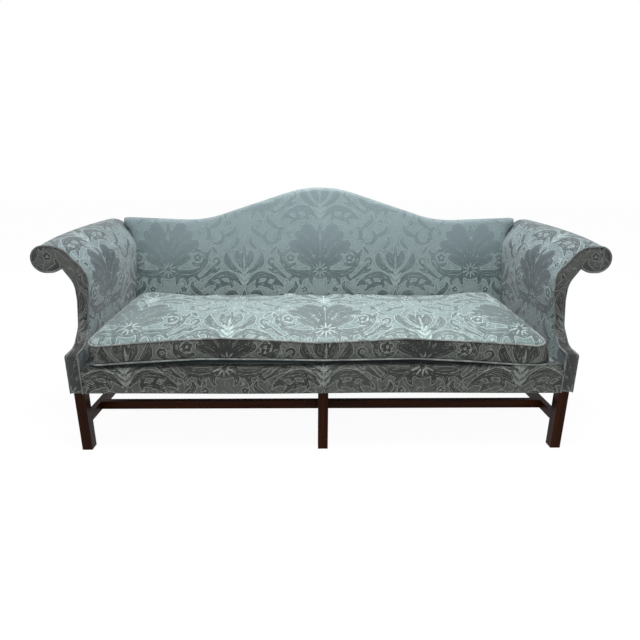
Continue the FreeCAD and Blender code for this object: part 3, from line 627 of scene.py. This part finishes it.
def camel(x):
    """Height of the back's top edge."""
    x = np.abs(x)
    bend = 0.52
    hump = hump_height - (bend - np.sqrt(np.maximum(bend ** 2 - np.maximum(x - 0.004, 0) ** 2, 0)))
    fall = hump_height - (hump_height - corner_height) / 0.475 * (x - 0.086)
    trough = 1.3202 - np.sqrt(np.maximum(bend ** 2 - (x - 0.6326) ** 2, 0))
    corner = corner_height + 0.0398 * (x - 0.561) - 0.013 * (np.maximum(x - 0.915, 0) / 0.057) ** 2
    return np.select([x < 0.1638, x < 0.4731, x < 0.6532], [hump, fall, trough], corner)


def back_seam(z):
    """Half the width of the inside back at a height, where it meets the arms."""
    return np.interp(z, [0.34, 0.469, 0.568, 0.635, 0.694, 0.738, 0.770, 0.790, 0.800],
                     [0.884, 0.889, 0.891, 0.895, 0.900, 0.908, 0.925, 0.950, 0.972])


def leaned(x, height, depth):
    """A point of the back from its height along the rake and its depth behind the face."""
    return np.c_[x, seat_back + height * math.sin(rake) + depth * math.cos(rake),
                 rail_top + height * math.cos(rake) - depth * math.sin(rake)]


def inside_back(s, t):
    """Face, roll and a strip down the rear, for shares of the width and of the height.
    The roll shuts at both ends."""
    face_share, foot = 0.86, 0.045
    side = 2 * s - 1
    x = side * 0.938
    shut = 1 - np.sqrt(1 - np.clip((np.abs(side) - 0.988) / 0.012, 0, 1) ** 2)
    for _ in range(9):
        top = (camel(x) - rail_top + roll_radius * math.sin(rake)) / math.cos(rake)
        upper = top - roll_radius - (roll_drop - roll_radius) * shut
        height = foot + (upper - foot) * np.minimum(t / face_share, 1)
        x = side * back_seam(rail_top + height * math.cos(rake))
    over = spaced(outline([(0, -roll_radius), (0, 0, roll_radius), (roll_depth, 0, 0.018),
                           (roll_depth, -roll_drop)], 0.002), 80)
    turn = np.clip((t - face_share) / (1 - face_share), 0, 1)
    depth = np.interp(turn, np.linspace(0, 1, 80), over[:, 0])
    above = np.interp(turn, np.linspace(0, 1, 80), over[:, 1])
    height = np.where(turn > 0, top + above - (above + roll_drop) * shut, height)
    tuck = 0.014 * np.exp(-(1 - np.abs(side)) * 0.93 / 0.016)
    rise = np.clip((height - 0.10) / (upper - 0.10), 0, 1)
    crown = 0.008 * np.sin(np.pi * rise) ** 0.7 * (1 - side ** 6)
    hollows = 0.0014 * np.sin(x * 9.0 + 0.7) * np.sin(height * 14.0)
    swell = (tuck - crown + hollows) * (1 - np.clip(turn * 4, 0, 1))
    along = np.where(turn > 0, upper + lengths(over)[-1] * turn, height)
    return leaned(x, height, depth + swell), np.c_[x, along - back_figure]


back_cover = sheet_of("inside_back_cover", 330, 118, inside_back, (0, -1, 0.2), 0.004)
# The back's damask, with a painted sheen that pales its figure towards the top.
back_cloth = damask("damask_back", (0.235, 0.295, 0.290), (0.068, 0.096, 0.100), (0.37, 0.45, 0.44),
                    painted_sheen=(0.46, 0.76, 0.62, (0.252, 0.330, 0.352)))
upholster(back_cover, back_cloth, 0.9, "inside_back")


# Arms
# Inside arms: damask over a felt pad on jute, from the deck up the neck, over the rolled
# top and round to the notch under the scroll. Outside arms hang from there to the rail.
front = -0.4192
arm_face = front + 0.0015
cover_foot = 0.240
arm_depth, arm_sections = 0.84, 29
notch, notch_height = 0.960, 0.6865


def arm_front_line(z):
    """Y of the arm's front at a height: upright block, sweep back, upright neck."""
    side = outline([(arm_face, 0.20), (arm_face, 0.396, 0.012), (arm_face + 0.066, 0.400, 0.060),
                    (arm_face + 0.121, 0.462, 0.030), (arm_face + 0.121, 0.9)], 0.002)
    return np.interp(z, side[:, 1], side[:, 0])


def inner_half(rise, splay):
    """Section of the arm from the deck up the neck and over the scroll to its notch."""
    top, neck, outer = 0.7685 + rise, 0.870 + splay, 1.0645
    return [(0.890, 0.330), (0.890, 0.487, 0.150), (neck, 0.585, 0.250), (neck, top - 0.100, 0.080),
            (neck + 0.085, top, 0.085), (outer, top, 0.048), (outer, top - 0.096, 0.048),
            (outer - 0.076, top - 0.096, 0.060), (notch, notch_height + rise)]


def outer_half(rise, fill):
    """Section of the arm from the notch down the neck to the block's foot."""
    neck = 0.9165 + fill
    return [(notch, notch_height + rise), (neck + 0.002, 0.6305 + rise / 2, 0.090),
            (neck, 0.5655, 0.200), (0.931, 0.460, 0.120), (0.931, 0.400, 0.020),
            (0.937, 0.388, 0.020), (0.937, cover_foot)]


def arm_shape(depth):
    """Rise, splay and fill at a depth behind the arm's face."""
    share = np.interp(depth, [0, 0.121, 0.195, 0.268, 0.365, 0.461, 0.565, 0.67, 0.84],
                      [-0.50, 0.0, 0.33, 0.54, 0.75, 0.87, 0.96, 1.0, 1.0])
    return 0.033 * share, 0.016 * depth / 0.8384, 0.014 * min(1.0, depth / 0.461)


def arm_points(half, side, rear):
    """place(s, t) for one half of an arm: s round the section, t from front to rear."""
    count = 240
    depths = np.linspace(0, arm_depth, arm_sections)
    sections = []
    for depth in depths:
        rise, splay, fill = arm_shape(depth)
        points = inner_half(rise, splay) if half == "inner" else outer_half(rise, fill)
        sections.append(spaced(outline(points), count))
    sections = np.array(sections)

    def place(s, t):
        index = s * (count - 1)
        low = np.minimum(index.astype(int), count - 2)
        part = (index - low)[:, None]
        skin = sections[:, low] * (1 - part) + sections[:, low + 1] * part
        column_of = np.arange(len(s))
        y = np.full(len(s), -0.1)

        def at(y):
            step = np.clip((y - arm_face) / (depths[1] - depths[0]), 0, len(depths) - 1.001)
            k = step.astype(int)
            rest = (step - k)[:, None]
            return skin[k, column_of] * (1 - rest) + skin[k + 1, column_of] * rest

        for _ in range(6):
            z = at(y)[:, 1]
            near, far = arm_front_line(z), rear(z)
            y = near + (far - near) * t
        found = at(y)
        around = lengths(sections[arm_sections // 2])
        spot = np.c_[side * found[:, 0], y, found[:, 1]]
        return spot, np.c_[y, np.interp(s, np.linspace(0, 1, count), around)]
    return place


def back_face(z):
    """Y of the inside back's face at a height."""
    return seat_back + (z - rail_top) * math.tan(rake)


def inside_arm(side):
    """place(s, t) for the inside arm, tucked in at its foot and front and a little rippled."""
    bare = arm_points("inner", side, lambda z: back_face(z) + roll_depth / math.cos(rake))

    def place(s, t):
        spot, cloth = bare(s, t)
        low = 1 - np.exp(-s / 0.02)
        near = np.exp(-(t * 0.6) / 0.010)
        spot[:, 0] += side * 0.003 * near * low
        ripple = 0.0012 * np.sin(spot[:, 1] * 26 + 3 * s) * np.sin(np.pi * s)
        spot[:, 0] -= side * ripple
        return spot, np.c_[side * (cloth[:, 0] + 0.10), cloth[:, 1] - 0.20]
    return place


back_thickness = 0.060 / math.cos(rake)
# The inside arms' copy of the one damask, painted darker for the shade they stand in.
arm_cloth_shaded = damask("damask_arm_shaded", (0.168, 0.220, 0.230), (0.034, 0.054, 0.064), (0.36, 0.44, 0.44))
# The outside's copy of the one damask, on the outside arms, outside back and cushion underside,
# painted darker for the shade there.
outer_cloth_shaded = damask("damask_outside_shaded", (0.150, 0.178, 0.172), (0.072, 0.090, 0.089),
                     (0.25, 0.29, 0.28))
for hand, side in (("left", -1), ("right", 1)):
    cover = sheet_of("inside_arm_cover_" + hand, 128, 118, inside_arm(side), (-side, 0, 0.9), 0.004)
    upholster(cover, arm_cloth_shaded, 0.85, "inside_arm_" + hand)

    bare = arm_points("outer", side, lambda z: back_face(np.maximum(z, rail_top)) + back_thickness)
    outside = sheet_of("outside_arm_cover_" + hand, 70, 120,
                       lambda s, t: (bare(s, t)[0], bare(s, t)[1] * (side, -1) + (0, 0.33)),
                       (side, 0, 0), 0.003)
    upholster(outside, outer_cloth_shaded, 0.8, "outside_arm_" + hand)


# Arm fronts
# A facing of damask over thin felt, shaped to the block, the sweep, the neck and the
# scroll, blind-stitched inside a cord covered in the same cloth cut on the bias.
def outside_of(points, polygon):
    """Distance from (a, b) points to a closed outline, negative inside it."""
    first, last = polygon, np.roll(polygon, -1, axis=0)
    reach = np.full(len(points), 9.0)
    inside = np.zeros(len(points), bool)
    for one, two in zip(first, last):
        edge = two - one
        size = edge @ edge
        if size < 1e-14:
            continue
        share = np.clip(((points - one) @ edge) / size, 0, 1)
        reach = np.minimum(reach, np.linalg.norm(points - one - share[:, None] * edge, axis=1))
        crosses = (one[1] > points[:, 1]) != (two[1] > points[:, 1])
        if abs(edge[1]) > 1e-12:
            inside ^= crosses & (points[:, 0] < one[0] + (points[:, 1] - one[1]) * edge[0] / edge[1])
    return np.where(inside, -reach, reach)


def mode(name):
    """Goes to EDIT or to OBJECT mode."""
    bpy.ops.object.mode_set(mode=name)


def trimmed(piece, faces):
    """Deletes the faces that an array marks."""
    mode("EDIT")
    bpy.ops.mesh.select_mode(type="FACE")
    bpy.ops.mesh.select_all(action="DESELECT")
    mode("OBJECT")
    piece.data.polygons.foreach_set("select", faces)
    mode("EDIT")
    bpy.ops.mesh.delete(type="FACE")
    mode("OBJECT")


def cut_cloth(name, distance, low, high, step, place, outward, thickness=0.003):
    """A cover cut to a shape: a grid kept where distance(points) is negative, its edge
    brought onto the line, and then set in space by place(points, distances)."""
    piece, shares = grid_cloth(name, int((high[0] - low[0]) / step), int((high[1] - low[1]) / step))
    flat = shares * (np.array(high) - np.array(low)) + np.array(low)
    middles = flat[corners_of(piece.data).reshape(-1, 4)].mean(1)
    moved_to(piece, np.c_[flat, np.zeros(len(flat))])
    trimmed(piece, distance(middles) > -0.15 * step)
    mode("EDIT")
    bpy.ops.mesh.select_mode(type="VERT")
    bpy.ops.mesh.select_all(action="DESELECT")
    bpy.ops.mesh.select_non_manifold()
    mode("OBJECT")
    flat = points_of(piece)[:, :2].copy()
    rim = read(piece.data.vertices, "select", kind=bool)
    for _ in range(3):
        here = flat[rim]
        gap = distance(here)
        slope = np.c_[distance(here + (0.0005, 0)) - gap, distance(here + (0, 0.0005)) - gap]
        slope /= np.maximum(np.linalg.norm(slope, axis=1), 1e-9)[:, None]
        flat[rim] = here - slope * gap[:, None]
    return fitted(piece, *place(flat, distance(flat)), outward, thickness)


def picked(*pieces):
    """Selects these objects alone and makes the last of them the active one."""
    bpy.ops.object.select_all(action="DESELECT")
    for piece in pieces:
        piece.select_set(True)
        bpy.context.view_layer.objects.active = piece


def cord_along(name, line, radius, closed=False):
    """A round covered cord along a line of points, with its two ends closed."""
    curve = bpy.data.curves.new(name, "CURVE")
    curve.dimensions = "3D"
    curve.bevel_depth = radius
    curve.bevel_resolution = 3
    curve.use_fill_caps = not closed
    spline = curve.splines.new("POLY")
    spline.points.add(len(line) - 1)
    spline.points.foreach_set("co", np.c_[line, np.ones(len(line))].ravel())
    spline.use_cyclic_u = closed
    piece = bpy.data.objects.new(name, curve)
    bpy.context.scene.collection.objects.link(piece)
    picked(piece)
    bpy.ops.object.convert(target="MESH")
    piece = bpy.context.object
    bpy.ops.object.shade_smooth()
    return piece


def piping(name, colour):
    """Bias-cut cover of a cord: fine slanting threads with a little of the figure."""
    cloth = Finish(bpy.data.materials.new(name))
    threads = cloth.noise(cloth.stretched((900, 900, 900)), 1.0, 1.0)
    patches = cloth.noise(cloth.place(), 28.0, 2.0)
    shade = cloth.mixed(cloth.between(patches, 0.42, 0.62), dimmed(colour, 0.55), colour)
    return cloth.surface(shade, 0.7 + (threads - 0.5) * 0.2, threads, 0.0003,
                         specular_ior_level=0.3, sheen_weight=0.3)


def inner_edge(rise, splay):
    """The inner half, carried straight down to the foot of the block."""
    return [(0.890, cover_foot)] + inner_half(rise, splay)[1:]


def arm_section(rise, splay, fill):
    """The whole outline of an arm, cut across."""
    return outline(inner_edge(rise, splay) + outer_half(rise, fill)[1:], 0.003)


facing_outline = arm_section(0, 0, 0)
# The arm fronts' copy of the one damask, painted much darker for the shade they stand in.
facing_cloth_shaded = damask("damask_facing_shaded", (0.090, 0.094, 0.086), (0.022, 0.024, 0.022),
                      (0.24, 0.26, 0.25))
# The arm cords' copy of the cord cloth, painted darker than the cushion's for the shade they stand
# in.
arm_cord = piping("arm_piping_shaded", (0.20, 0.22, 0.21))
for hand, side in (("left", -1), ("right", 1)):
    def facing(flat, gap):
        """place(points, distances): over the block and up the neck, puffed off its edge."""
        swell = 0.0045 * (1 - np.exp(gap / 0.012))
        y = arm_front_line(flat[:, 1]) + 0.001 - swell
        rising = np.interp(flat[:, 1], [0.396, 0.462], [0, 0.055])
        spot = np.c_[side * flat[:, 0], y, flat[:, 1]]
        return spot, np.c_[side * (flat[:, 0] - 0.93), flat[:, 1] + rising - 0.24]

    front_cover = cut_cloth("arm_facing_" + hand,
                            lambda flat: outside_of(flat, facing_outline) + 0.0022,
                            (0.860, 0.236), (1.070, 0.774), 0.0045, facing, (0, -1, 0))
    upholster(front_cover, facing_cloth_shaded, 0.8, "arm_front_panel_" + hand)

    edge = spaced(outline(inner_edge(0, 0), 0.004), 320)
    run = np.c_[side * edge[:, 0], arm_front_line(edge[:, 1]) - 0.0005, edge[:, 1]]
    cord = cord_along("arm_cord_" + hand, run, 0.0030)
    stand_for(cord, arm_cord, "welt_cord", "sofa", "arm_welt_" + hand)


# Front border and deck
# A band of damask over the front rail and its stuffed edge roll, with the plain deck
# cloth sewn on behind the roll and drawn back over the seat's springs.
border_top = 0.3428


def front_border(s, t):
    """place(s, t) of the border: up the rail's face and over the roll, with a wavy top."""
    x = (2 * s - 1) * 0.8875
    wave = 0.0035 * np.sin(x * 2.1 + 0.4) + 0.002 * np.sin(x * 9.0)
    side = spaced(outline([(arm_face, cover_foot), (arm_face, border_top, 0.018),
                           (arm_face + 0.045, border_top)], 0.002), 120)
    at = np.linspace(0, 1, 120)
    y, z = np.interp(t, at, side[:, 0]), np.interp(t, at, side[:, 1])
    rise = np.clip((z - 0.29) / 0.0528, 0, 1)
    z = z + wave * rise
    y = y - 0.004 * np.exp(-((z - 0.322) / 0.022) ** 2) - 0.0012 * np.sin(x * 16 + 1) * rise
    z = np.where(t < 0.02, z + 0.0015 * np.sin(x * 6.0), z)
    return np.c_[x, y, z], np.c_[x + column, t * lengths(side)[-1] - 0.105]


border = sheet_of("front_border_cover", 330, 30, front_border, (0, -1, 0.3), 0.003)
# The border's copy of the one damask, painted much darker for the shade the front stands in.
border_cloth_shaded = damask("damask_border_shaded", (0.082, 0.087, 0.076), (0.014, 0.016, 0.013),
                      (0.32, 0.35, 0.33), sheen=0.12)
upholster(border, border_cloth_shaded, 0.8, "front_border", "front_edge_roll")


def deck(s, t):
    """place(s, t) of the deck: nearly flat, with the springs' slight waves."""
    x = (2 * s - 1) * 0.886
    y = arm_face + 0.044 + t * (0.180 - arm_face - 0.044)
    sink = 0.0010 * np.sin(x * 36.0) * np.sin(np.pi * t) + 0.0008 * np.sin(x * 3 + 1)
    return np.c_[x, y, 0.3416 + sink - 0.0015], np.c_[x, y]


deck_cover = sheet_of("deck_cover", 150, 50, deck, (0, 0, 1), 0.010)
deck_cloth = coarse_cloth("deck_cloth", (0.27, 0.33, 0.34), 0.0008, 0.25, 0.85)
stand_for(deck_cover, deck_cloth, "deck_cloth", "sofa", "deck_pad")


# Outside back
# One flat damask cover from the roll down to the rail's lower edge, with the rear ends of
# both arms, tacked blind at the top and sides and hand-sewn down the edges.
outer_arm_end = arm_section(0.033, 0.016, 0.014)
widths = np.linspace(-0.938, 0.938, 160)
back_outline = np.vstack([[(widths[0], cover_foot)], np.c_[widths, camel(widths) - 0.012],
                          [(widths[-1], cover_foot)]])


def rear_shape(flat):
    """Distance to the outline of the back joined with both arm ends."""
    end = flat.copy()
    end[:, 0] = np.abs(end[:, 0])
    return np.minimum(outside_of(flat, back_outline), outside_of(end, outer_arm_end)) + 0.001


def rear(flat, gap):
    """place(points, distances) of the outside back: leaning above the rail, upright below."""
    x, z = flat.T
    lean = np.maximum(z - rail_top, 0)
    soft_edge = 0.004 * np.exp(gap / 0.006)
    y = seat_back + lean * math.tan(rake) + back_thickness - soft_edge
    y = y + 0.0015 * np.sin(x * 5 + 1) * np.sin(z * 9)
    up = np.minimum(z - rail_top, 0) + lean / math.cos(rake) - back_figure
    return np.c_[x, y, z], np.c_[x, up]


rear_cover = cut_cloth("outside_back_cover", rear_shape, (-1.070, 0.236), (1.070, 0.942), 0.0066,
                       rear, (0, 1, 0))
upholster(rear_cover, outer_cloth_shaded, 0.8, "outside_back")


# Dust cloth
# Black cambric stretched under the seat rails and tacked round its edge, to hide the
# springs and hold the dust.
def cambric(s, t):
    """place(s, t) of the dust cloth: taut, with a little sag in the middle."""
    x, y = (2 * s - 1) * 0.925, -0.4127 + t * 0.6484
    sag = 0.003 * np.sin(np.pi * s) * np.sin(np.pi * t) - 0.0003
    return np.c_[x, y, 0.2445 - sag], np.c_[x, y]


bottom_cloth = sheet_of("dust_cloth", 90, 40, cambric, (0, 0, -1), 0.0006)
black_cambric = coarse_cloth("black_cambric", (0.022, 0.022, 0.024), 0.0007, 0.4, 0.9)
stand_for(bottom_cloth, black_cambric, "black_cambric", "sofa", "dust_cover")


# Seat cushion
# One long box cushion: a crowned top and a flat underside of damask, joined by a boxing
# between two corded seams, blown up by its filling. The seams wander with the filling.
left_end, right_end = -0.860, 0.822
cushion_front = front + 0.012
boxing_bulge = 0.0055
columns, rows = 144, 52
rim = 2 * (columns + rows)


def upper_seam(x, y):
    """Height of the upper corded seam round the cushion."""
    edge = np.interp(x, [-0.864, -0.80, -0.63, -0.50, -0.376, -0.20, -0.015,
                         0.15, 0.301, 0.50, 0.642, 0.75, 0.822],
                     [0.418, 0.424, 0.437, 0.447, 0.453, 0.444, 0.430,
                      0.440, 0.450, 0.440, 0.431, 0.424, 0.418])
    back = np.clip((y - cushion_front) / 0.62, 0, 1) ** 0.42
    return edge * (1 - back) + 0.456 * back


def lower_seam(x, y):
    """Height of the lower one, which dips at the ends."""
    edge = np.interp(x, [-0.864, -0.70, -0.454, -0.2, 0.0, 0.335, 0.55, 0.72, 0.822],
                     [0.349, 0.360, 0.373, 0.370, 0.366, 0.373, 0.362, 0.350, 0.347])
    back = np.clip((y - cushion_front) / 0.62, 0, 1)
    return edge * (1 - back) + 0.362 * back


def plan(s, t):
    """The cushion's outline in plan, filled: rounded at its four corners."""
    p, q = 2 * s - 1, 2 * t - 1
    half_width = (right_end - left_end) / 2
    near, far = cushion_front, back_face(0.40) - 0.016
    half_depth = (far - near) / 2
    x, y = p * half_width, q * half_depth
    corner = 0.045
    over_x, over_y = np.abs(x) - (half_width - corner), np.abs(y) - (half_depth - corner)
    both = (over_x > 0) & (over_y > 0)
    reach = np.hypot(over_x, over_y)
    square = np.maximum(over_x, over_y)
    pull = np.where(both, square / np.maximum(reach, 1e-9), 1.0)
    x = np.where(both, np.sign(x) * (half_width - corner + over_x * pull), x)
    y = np.where(both, np.sign(y) * (half_depth - corner + over_y * pull), y)
    draw = 0.008 * (1 - p ** 2) * np.clip(-q, 0, 1) ** 6
    return (left_end + right_end) / 2 + x, (near + far) / 2 + y + draw, p, q


def spread(p):
    """How far the lower seam stands out past the upper one at the right end."""
    return 0.028 * np.clip((p - 0.93) / 0.07, 0, 1)


def top_panel(s, t):
    """place(s, t) of the top: crowned, fuller behind, with one dimple."""
    x, y, p, q = plan(s, t)
    crown = 0.042 * (1 - np.abs(q) ** np.where(q > 0, 9.0, 3.6)) * (1 - np.abs(p) ** 34)
    seam = upper_seam(x, y)
    middle = 0.438 + (seam - 0.438) * np.maximum(np.abs(q) ** 3, np.abs(p) ** 12)
    dimple = 0.010 * np.exp(-((x - 0.15) / 0.05) ** 2 - ((y - 0.02) / 0.10) ** 2)
    cloth = np.c_[x - 0.01, y - cushion_front - 0.07]
    return np.c_[x, y, middle + crown - dimple], cloth


def under_panel(s, t):
    """place(s, t) of the underside: flat on the deck, rising to its seam at the edges."""
    x, y, p, q = plan(s, t)
    belly = 0.3436
    rise = np.clip((np.abs(q) - 0.62) / 0.14, 0, 1)
    rise = np.maximum(rise, np.clip((np.abs(p) - 0.93) / 0.04, 0, 1))
    z = belly + (lower_seam(x, y) - belly) * rise
    return np.c_[x + spread(p), y, z], np.c_[x, y - cushion_front]


def rim_plan(step):
    """The plan's point at each step round its rim."""
    sides = [step <= columns, step <= columns + rows, step <= 2 * columns + rows]
    across = np.select(sides, [step / columns, 1.0, (2 * columns + rows - step) / columns], 0.0)
    along = np.select(sides, [0.0, (step - columns) / rows, 1.0], (rim - step) / rows)
    return plan(across, along)


def boxing(s, t):
    """The strip round the cushion, from the lower seam (t = 0) to the upper one."""
    x, y, p, q = rim_plan(np.round(s * rim).astype(int) % rim)
    z = lower_seam(x, y) * (1 - t) + upper_seam(x, y) * t
    bulge = boxing_bulge * np.abs(np.sin(np.pi * t)) ** 0.8 * np.clip((0.85 - q) / 0.2, -0.6, 1)
    outward = np.maximum(np.hypot(p ** 9, q ** 9), 1e-6)
    x = x + bulge * p ** 9 / outward + spread(p) * (1 - t)
    y = y + bulge * q ** 9 / outward
    ring = np.c_[rim_plan(np.arange(rim))[:2]]
    run = lengths(np.vstack([ring, ring[:1]]))
    around = np.interp(s * rim, np.arange(rim + 1), run) + left_end
    return np.c_[x, y, z], np.c_[around + column, t * 0.080 + 0.006]


top = sheet_of("cushion_top", columns, rows, top_panel, (0, 0, 1), 0)
under = sheet_of("cushion_under", columns, rows, under_panel, (0, 0, -1), 0)
band = sheet_of("cushion_band", rim, 6, boxing, (0, 0, 0), 0)
middles = read(band.data.polygons, "center", 3)
facings = read(band.data.polygons, "normal", 3)
if (facings[:, 1] * (middles[:, 1] - middles[:, 1].mean())).sum() < 0:
    band.data.flip_normals()
for number, piece in enumerate((top, under, band)):
    share = piece.data.attributes.new("panel", "INT", "FACE")
    share.data.foreach_set("value", np.full(len(piece.data.polygons), number))
picked(under, band, top)
bpy.ops.object.join()
casing = bpy.context.object
casing.name = "cushion_casing"
mode("EDIT")
bpy.ops.mesh.select_all(action="SELECT")
bpy.ops.mesh.remove_doubles(threshold=0.0004)
bpy.ops.mesh.normals_make_consistent(inside=False)
mode("OBJECT")


def panels():
    """The panel that each face of the casing belongs to: 0 top, 1 underside, 2 boxing."""
    return read(casing.data.attributes["panel"].data, "value", kind=int)


still = points_of(casing)
touching = np.zeros((len(still), 3), bool)
for face, number in zip(casing.data.polygons, panels()):
    touching[list(face.vertices), number] = True
on_top, on_under, on_band = touching.T
pinned = on_under | (on_top & on_band)
held = casing.vertex_groups.new(name="seams")
held.add([int(k) for k in np.nonzero(pinned)[0]], 1.0, "REPLACE")
blown = casing.modifiers.new("blown", "CLOTH")
for setting, amount in {
        "quality": 5, "mass": 0.25, "tension_stiffness": 18, "compression_stiffness": 4,
        "shear_stiffness": 6, "bending_stiffness": 0.35, "use_pressure": True,
        "uniform_pressure_force": 1.2, "shrink_min": -0.022,
        "vertex_group_mass": "seams"}.items():
    setattr(blown.settings, setting, amount)
blown.settings.effector_weights.gravity = 0
blown.collision_settings.use_collision = False
scene = bpy.context.scene
scene.frame_start, scene.frame_end = 1, 20
for moment in range(1, 21):
    scene.frame_set(moment)
graph = bpy.context.evaluated_depsgraph_get()
shift = points_of(casing.evaluated_get(graph)) - still
casing.modifiers.clear()
size = np.linalg.norm(shift, axis=1)
at_zipper = on_band & (still[:, 1] > still[:, 1].max() - 0.015)
cap = np.select([at_zipper, on_band & ~on_top], [0.0005, 0.006], 0.020)
shift *= np.minimum(1, cap / np.maximum(size, 1e-9))[:, None]
moved_to(casing, still + shift)
scene.frame_set(1)

picked(casing)
smooth = casing.modifiers.new("smooth", "SUBSURF")
smooth.levels = smooth.render_levels = 1
bpy.ops.object.modifier_apply(modifier="smooth")
bpy.ops.object.shade_smooth()
panel = panels()


def part_of(name, number, cloth, node):
    """One panel of the casing as a piece of its own, with its cloth's thickness."""
    piece = casing.copy()
    piece.data = casing.data.copy()
    piece.name = name
    bpy.context.scene.collection.objects.link(piece)
    picked(piece)
    trimmed(piece, panel != number)
    piece.vertex_groups.clear()
    walled(piece, 0.0015)
    piece.data.attributes.remove(piece.data.attributes["panel"])
    upholster(piece, cloth, 0.75, node, body="seat_cushion")


# The cushion top's copy of the one damask, painted paler with brighter lines for the overhead light
# and sheen on it.
seat_cloth_lit = damask("damask_seat_lit", (0.240, 0.318, 0.318), (0.120, 0.158, 0.160),
                    (0.58, 0.70, 0.68), sheen=0.3)
# The boxing's copy of the one damask, painted much darker for its shade, with painted shadow along
# both seams.
boxing_cloth_shaded = damask("damask_boxing_shaded", (0.102, 0.109, 0.096), (0.011, 0.013, 0.011),
                      (0.29, 0.32, 0.29), sheen=0.12, seams=(0.005, 0.085))
part_of("cushion_top_cover", 0, seat_cloth_lit, "cushion_top_panel")
part_of("cushion_bottom_cover", 1, outer_cloth_shaded, "cushion_bottom_panel")
part_of("cushion_boxing_cover", 2, boxing_cloth_shaded, "cushion_boxing")

seam_cord = piping("cushion_piping", (0.36, 0.40, 0.38))
for name, edge_height, node in (("cushion_cord_lower", 0.0, "cushion_welt_lower"),
                                ("cushion_cord_upper", 1.0, "cushion_welt_upper")):
    ring, _ = boxing(np.arange(rim) / rim, np.full(rim, edge_height))
    ring = spaced(np.vstack([ring, ring[:1]]), 700)[:-1]
    run = np.roll(ring, -1, axis=0) - np.roll(ring, 1, axis=0)
    outward = np.c_[run[:, 1], -run[:, 0], 0 * run[:, 0]]
    ring = ring + 0.0026 * outward / np.linalg.norm(outward, axis=1)[:, None]
    cord = cord_along(name, ring, 0.0034, closed=True)
    stand_for(cord, seam_cord, "welt_cord", "seat_cushion", node)


# Cushion filling
# A block of foam wrapped in feather and down, in a ticking cover, a little smaller than
# the casing that it fills.
filling = casing
filling.name = "cushion_filling"
moved_to(filling, points_of(filling) - 0.0035 * read(filling.data.vertex_normals, "vector", 3))
filling.vertex_groups.clear()
filling.data.attributes.remove(filling.data.attributes["panel"])
ticking = coarse_cloth("ticking", (0.75, 0.72, 0.66), 0.0009, 0.12, 0.9)
stand_for(filling, ticking, "filling", "seat_cushion", "cushion_core")
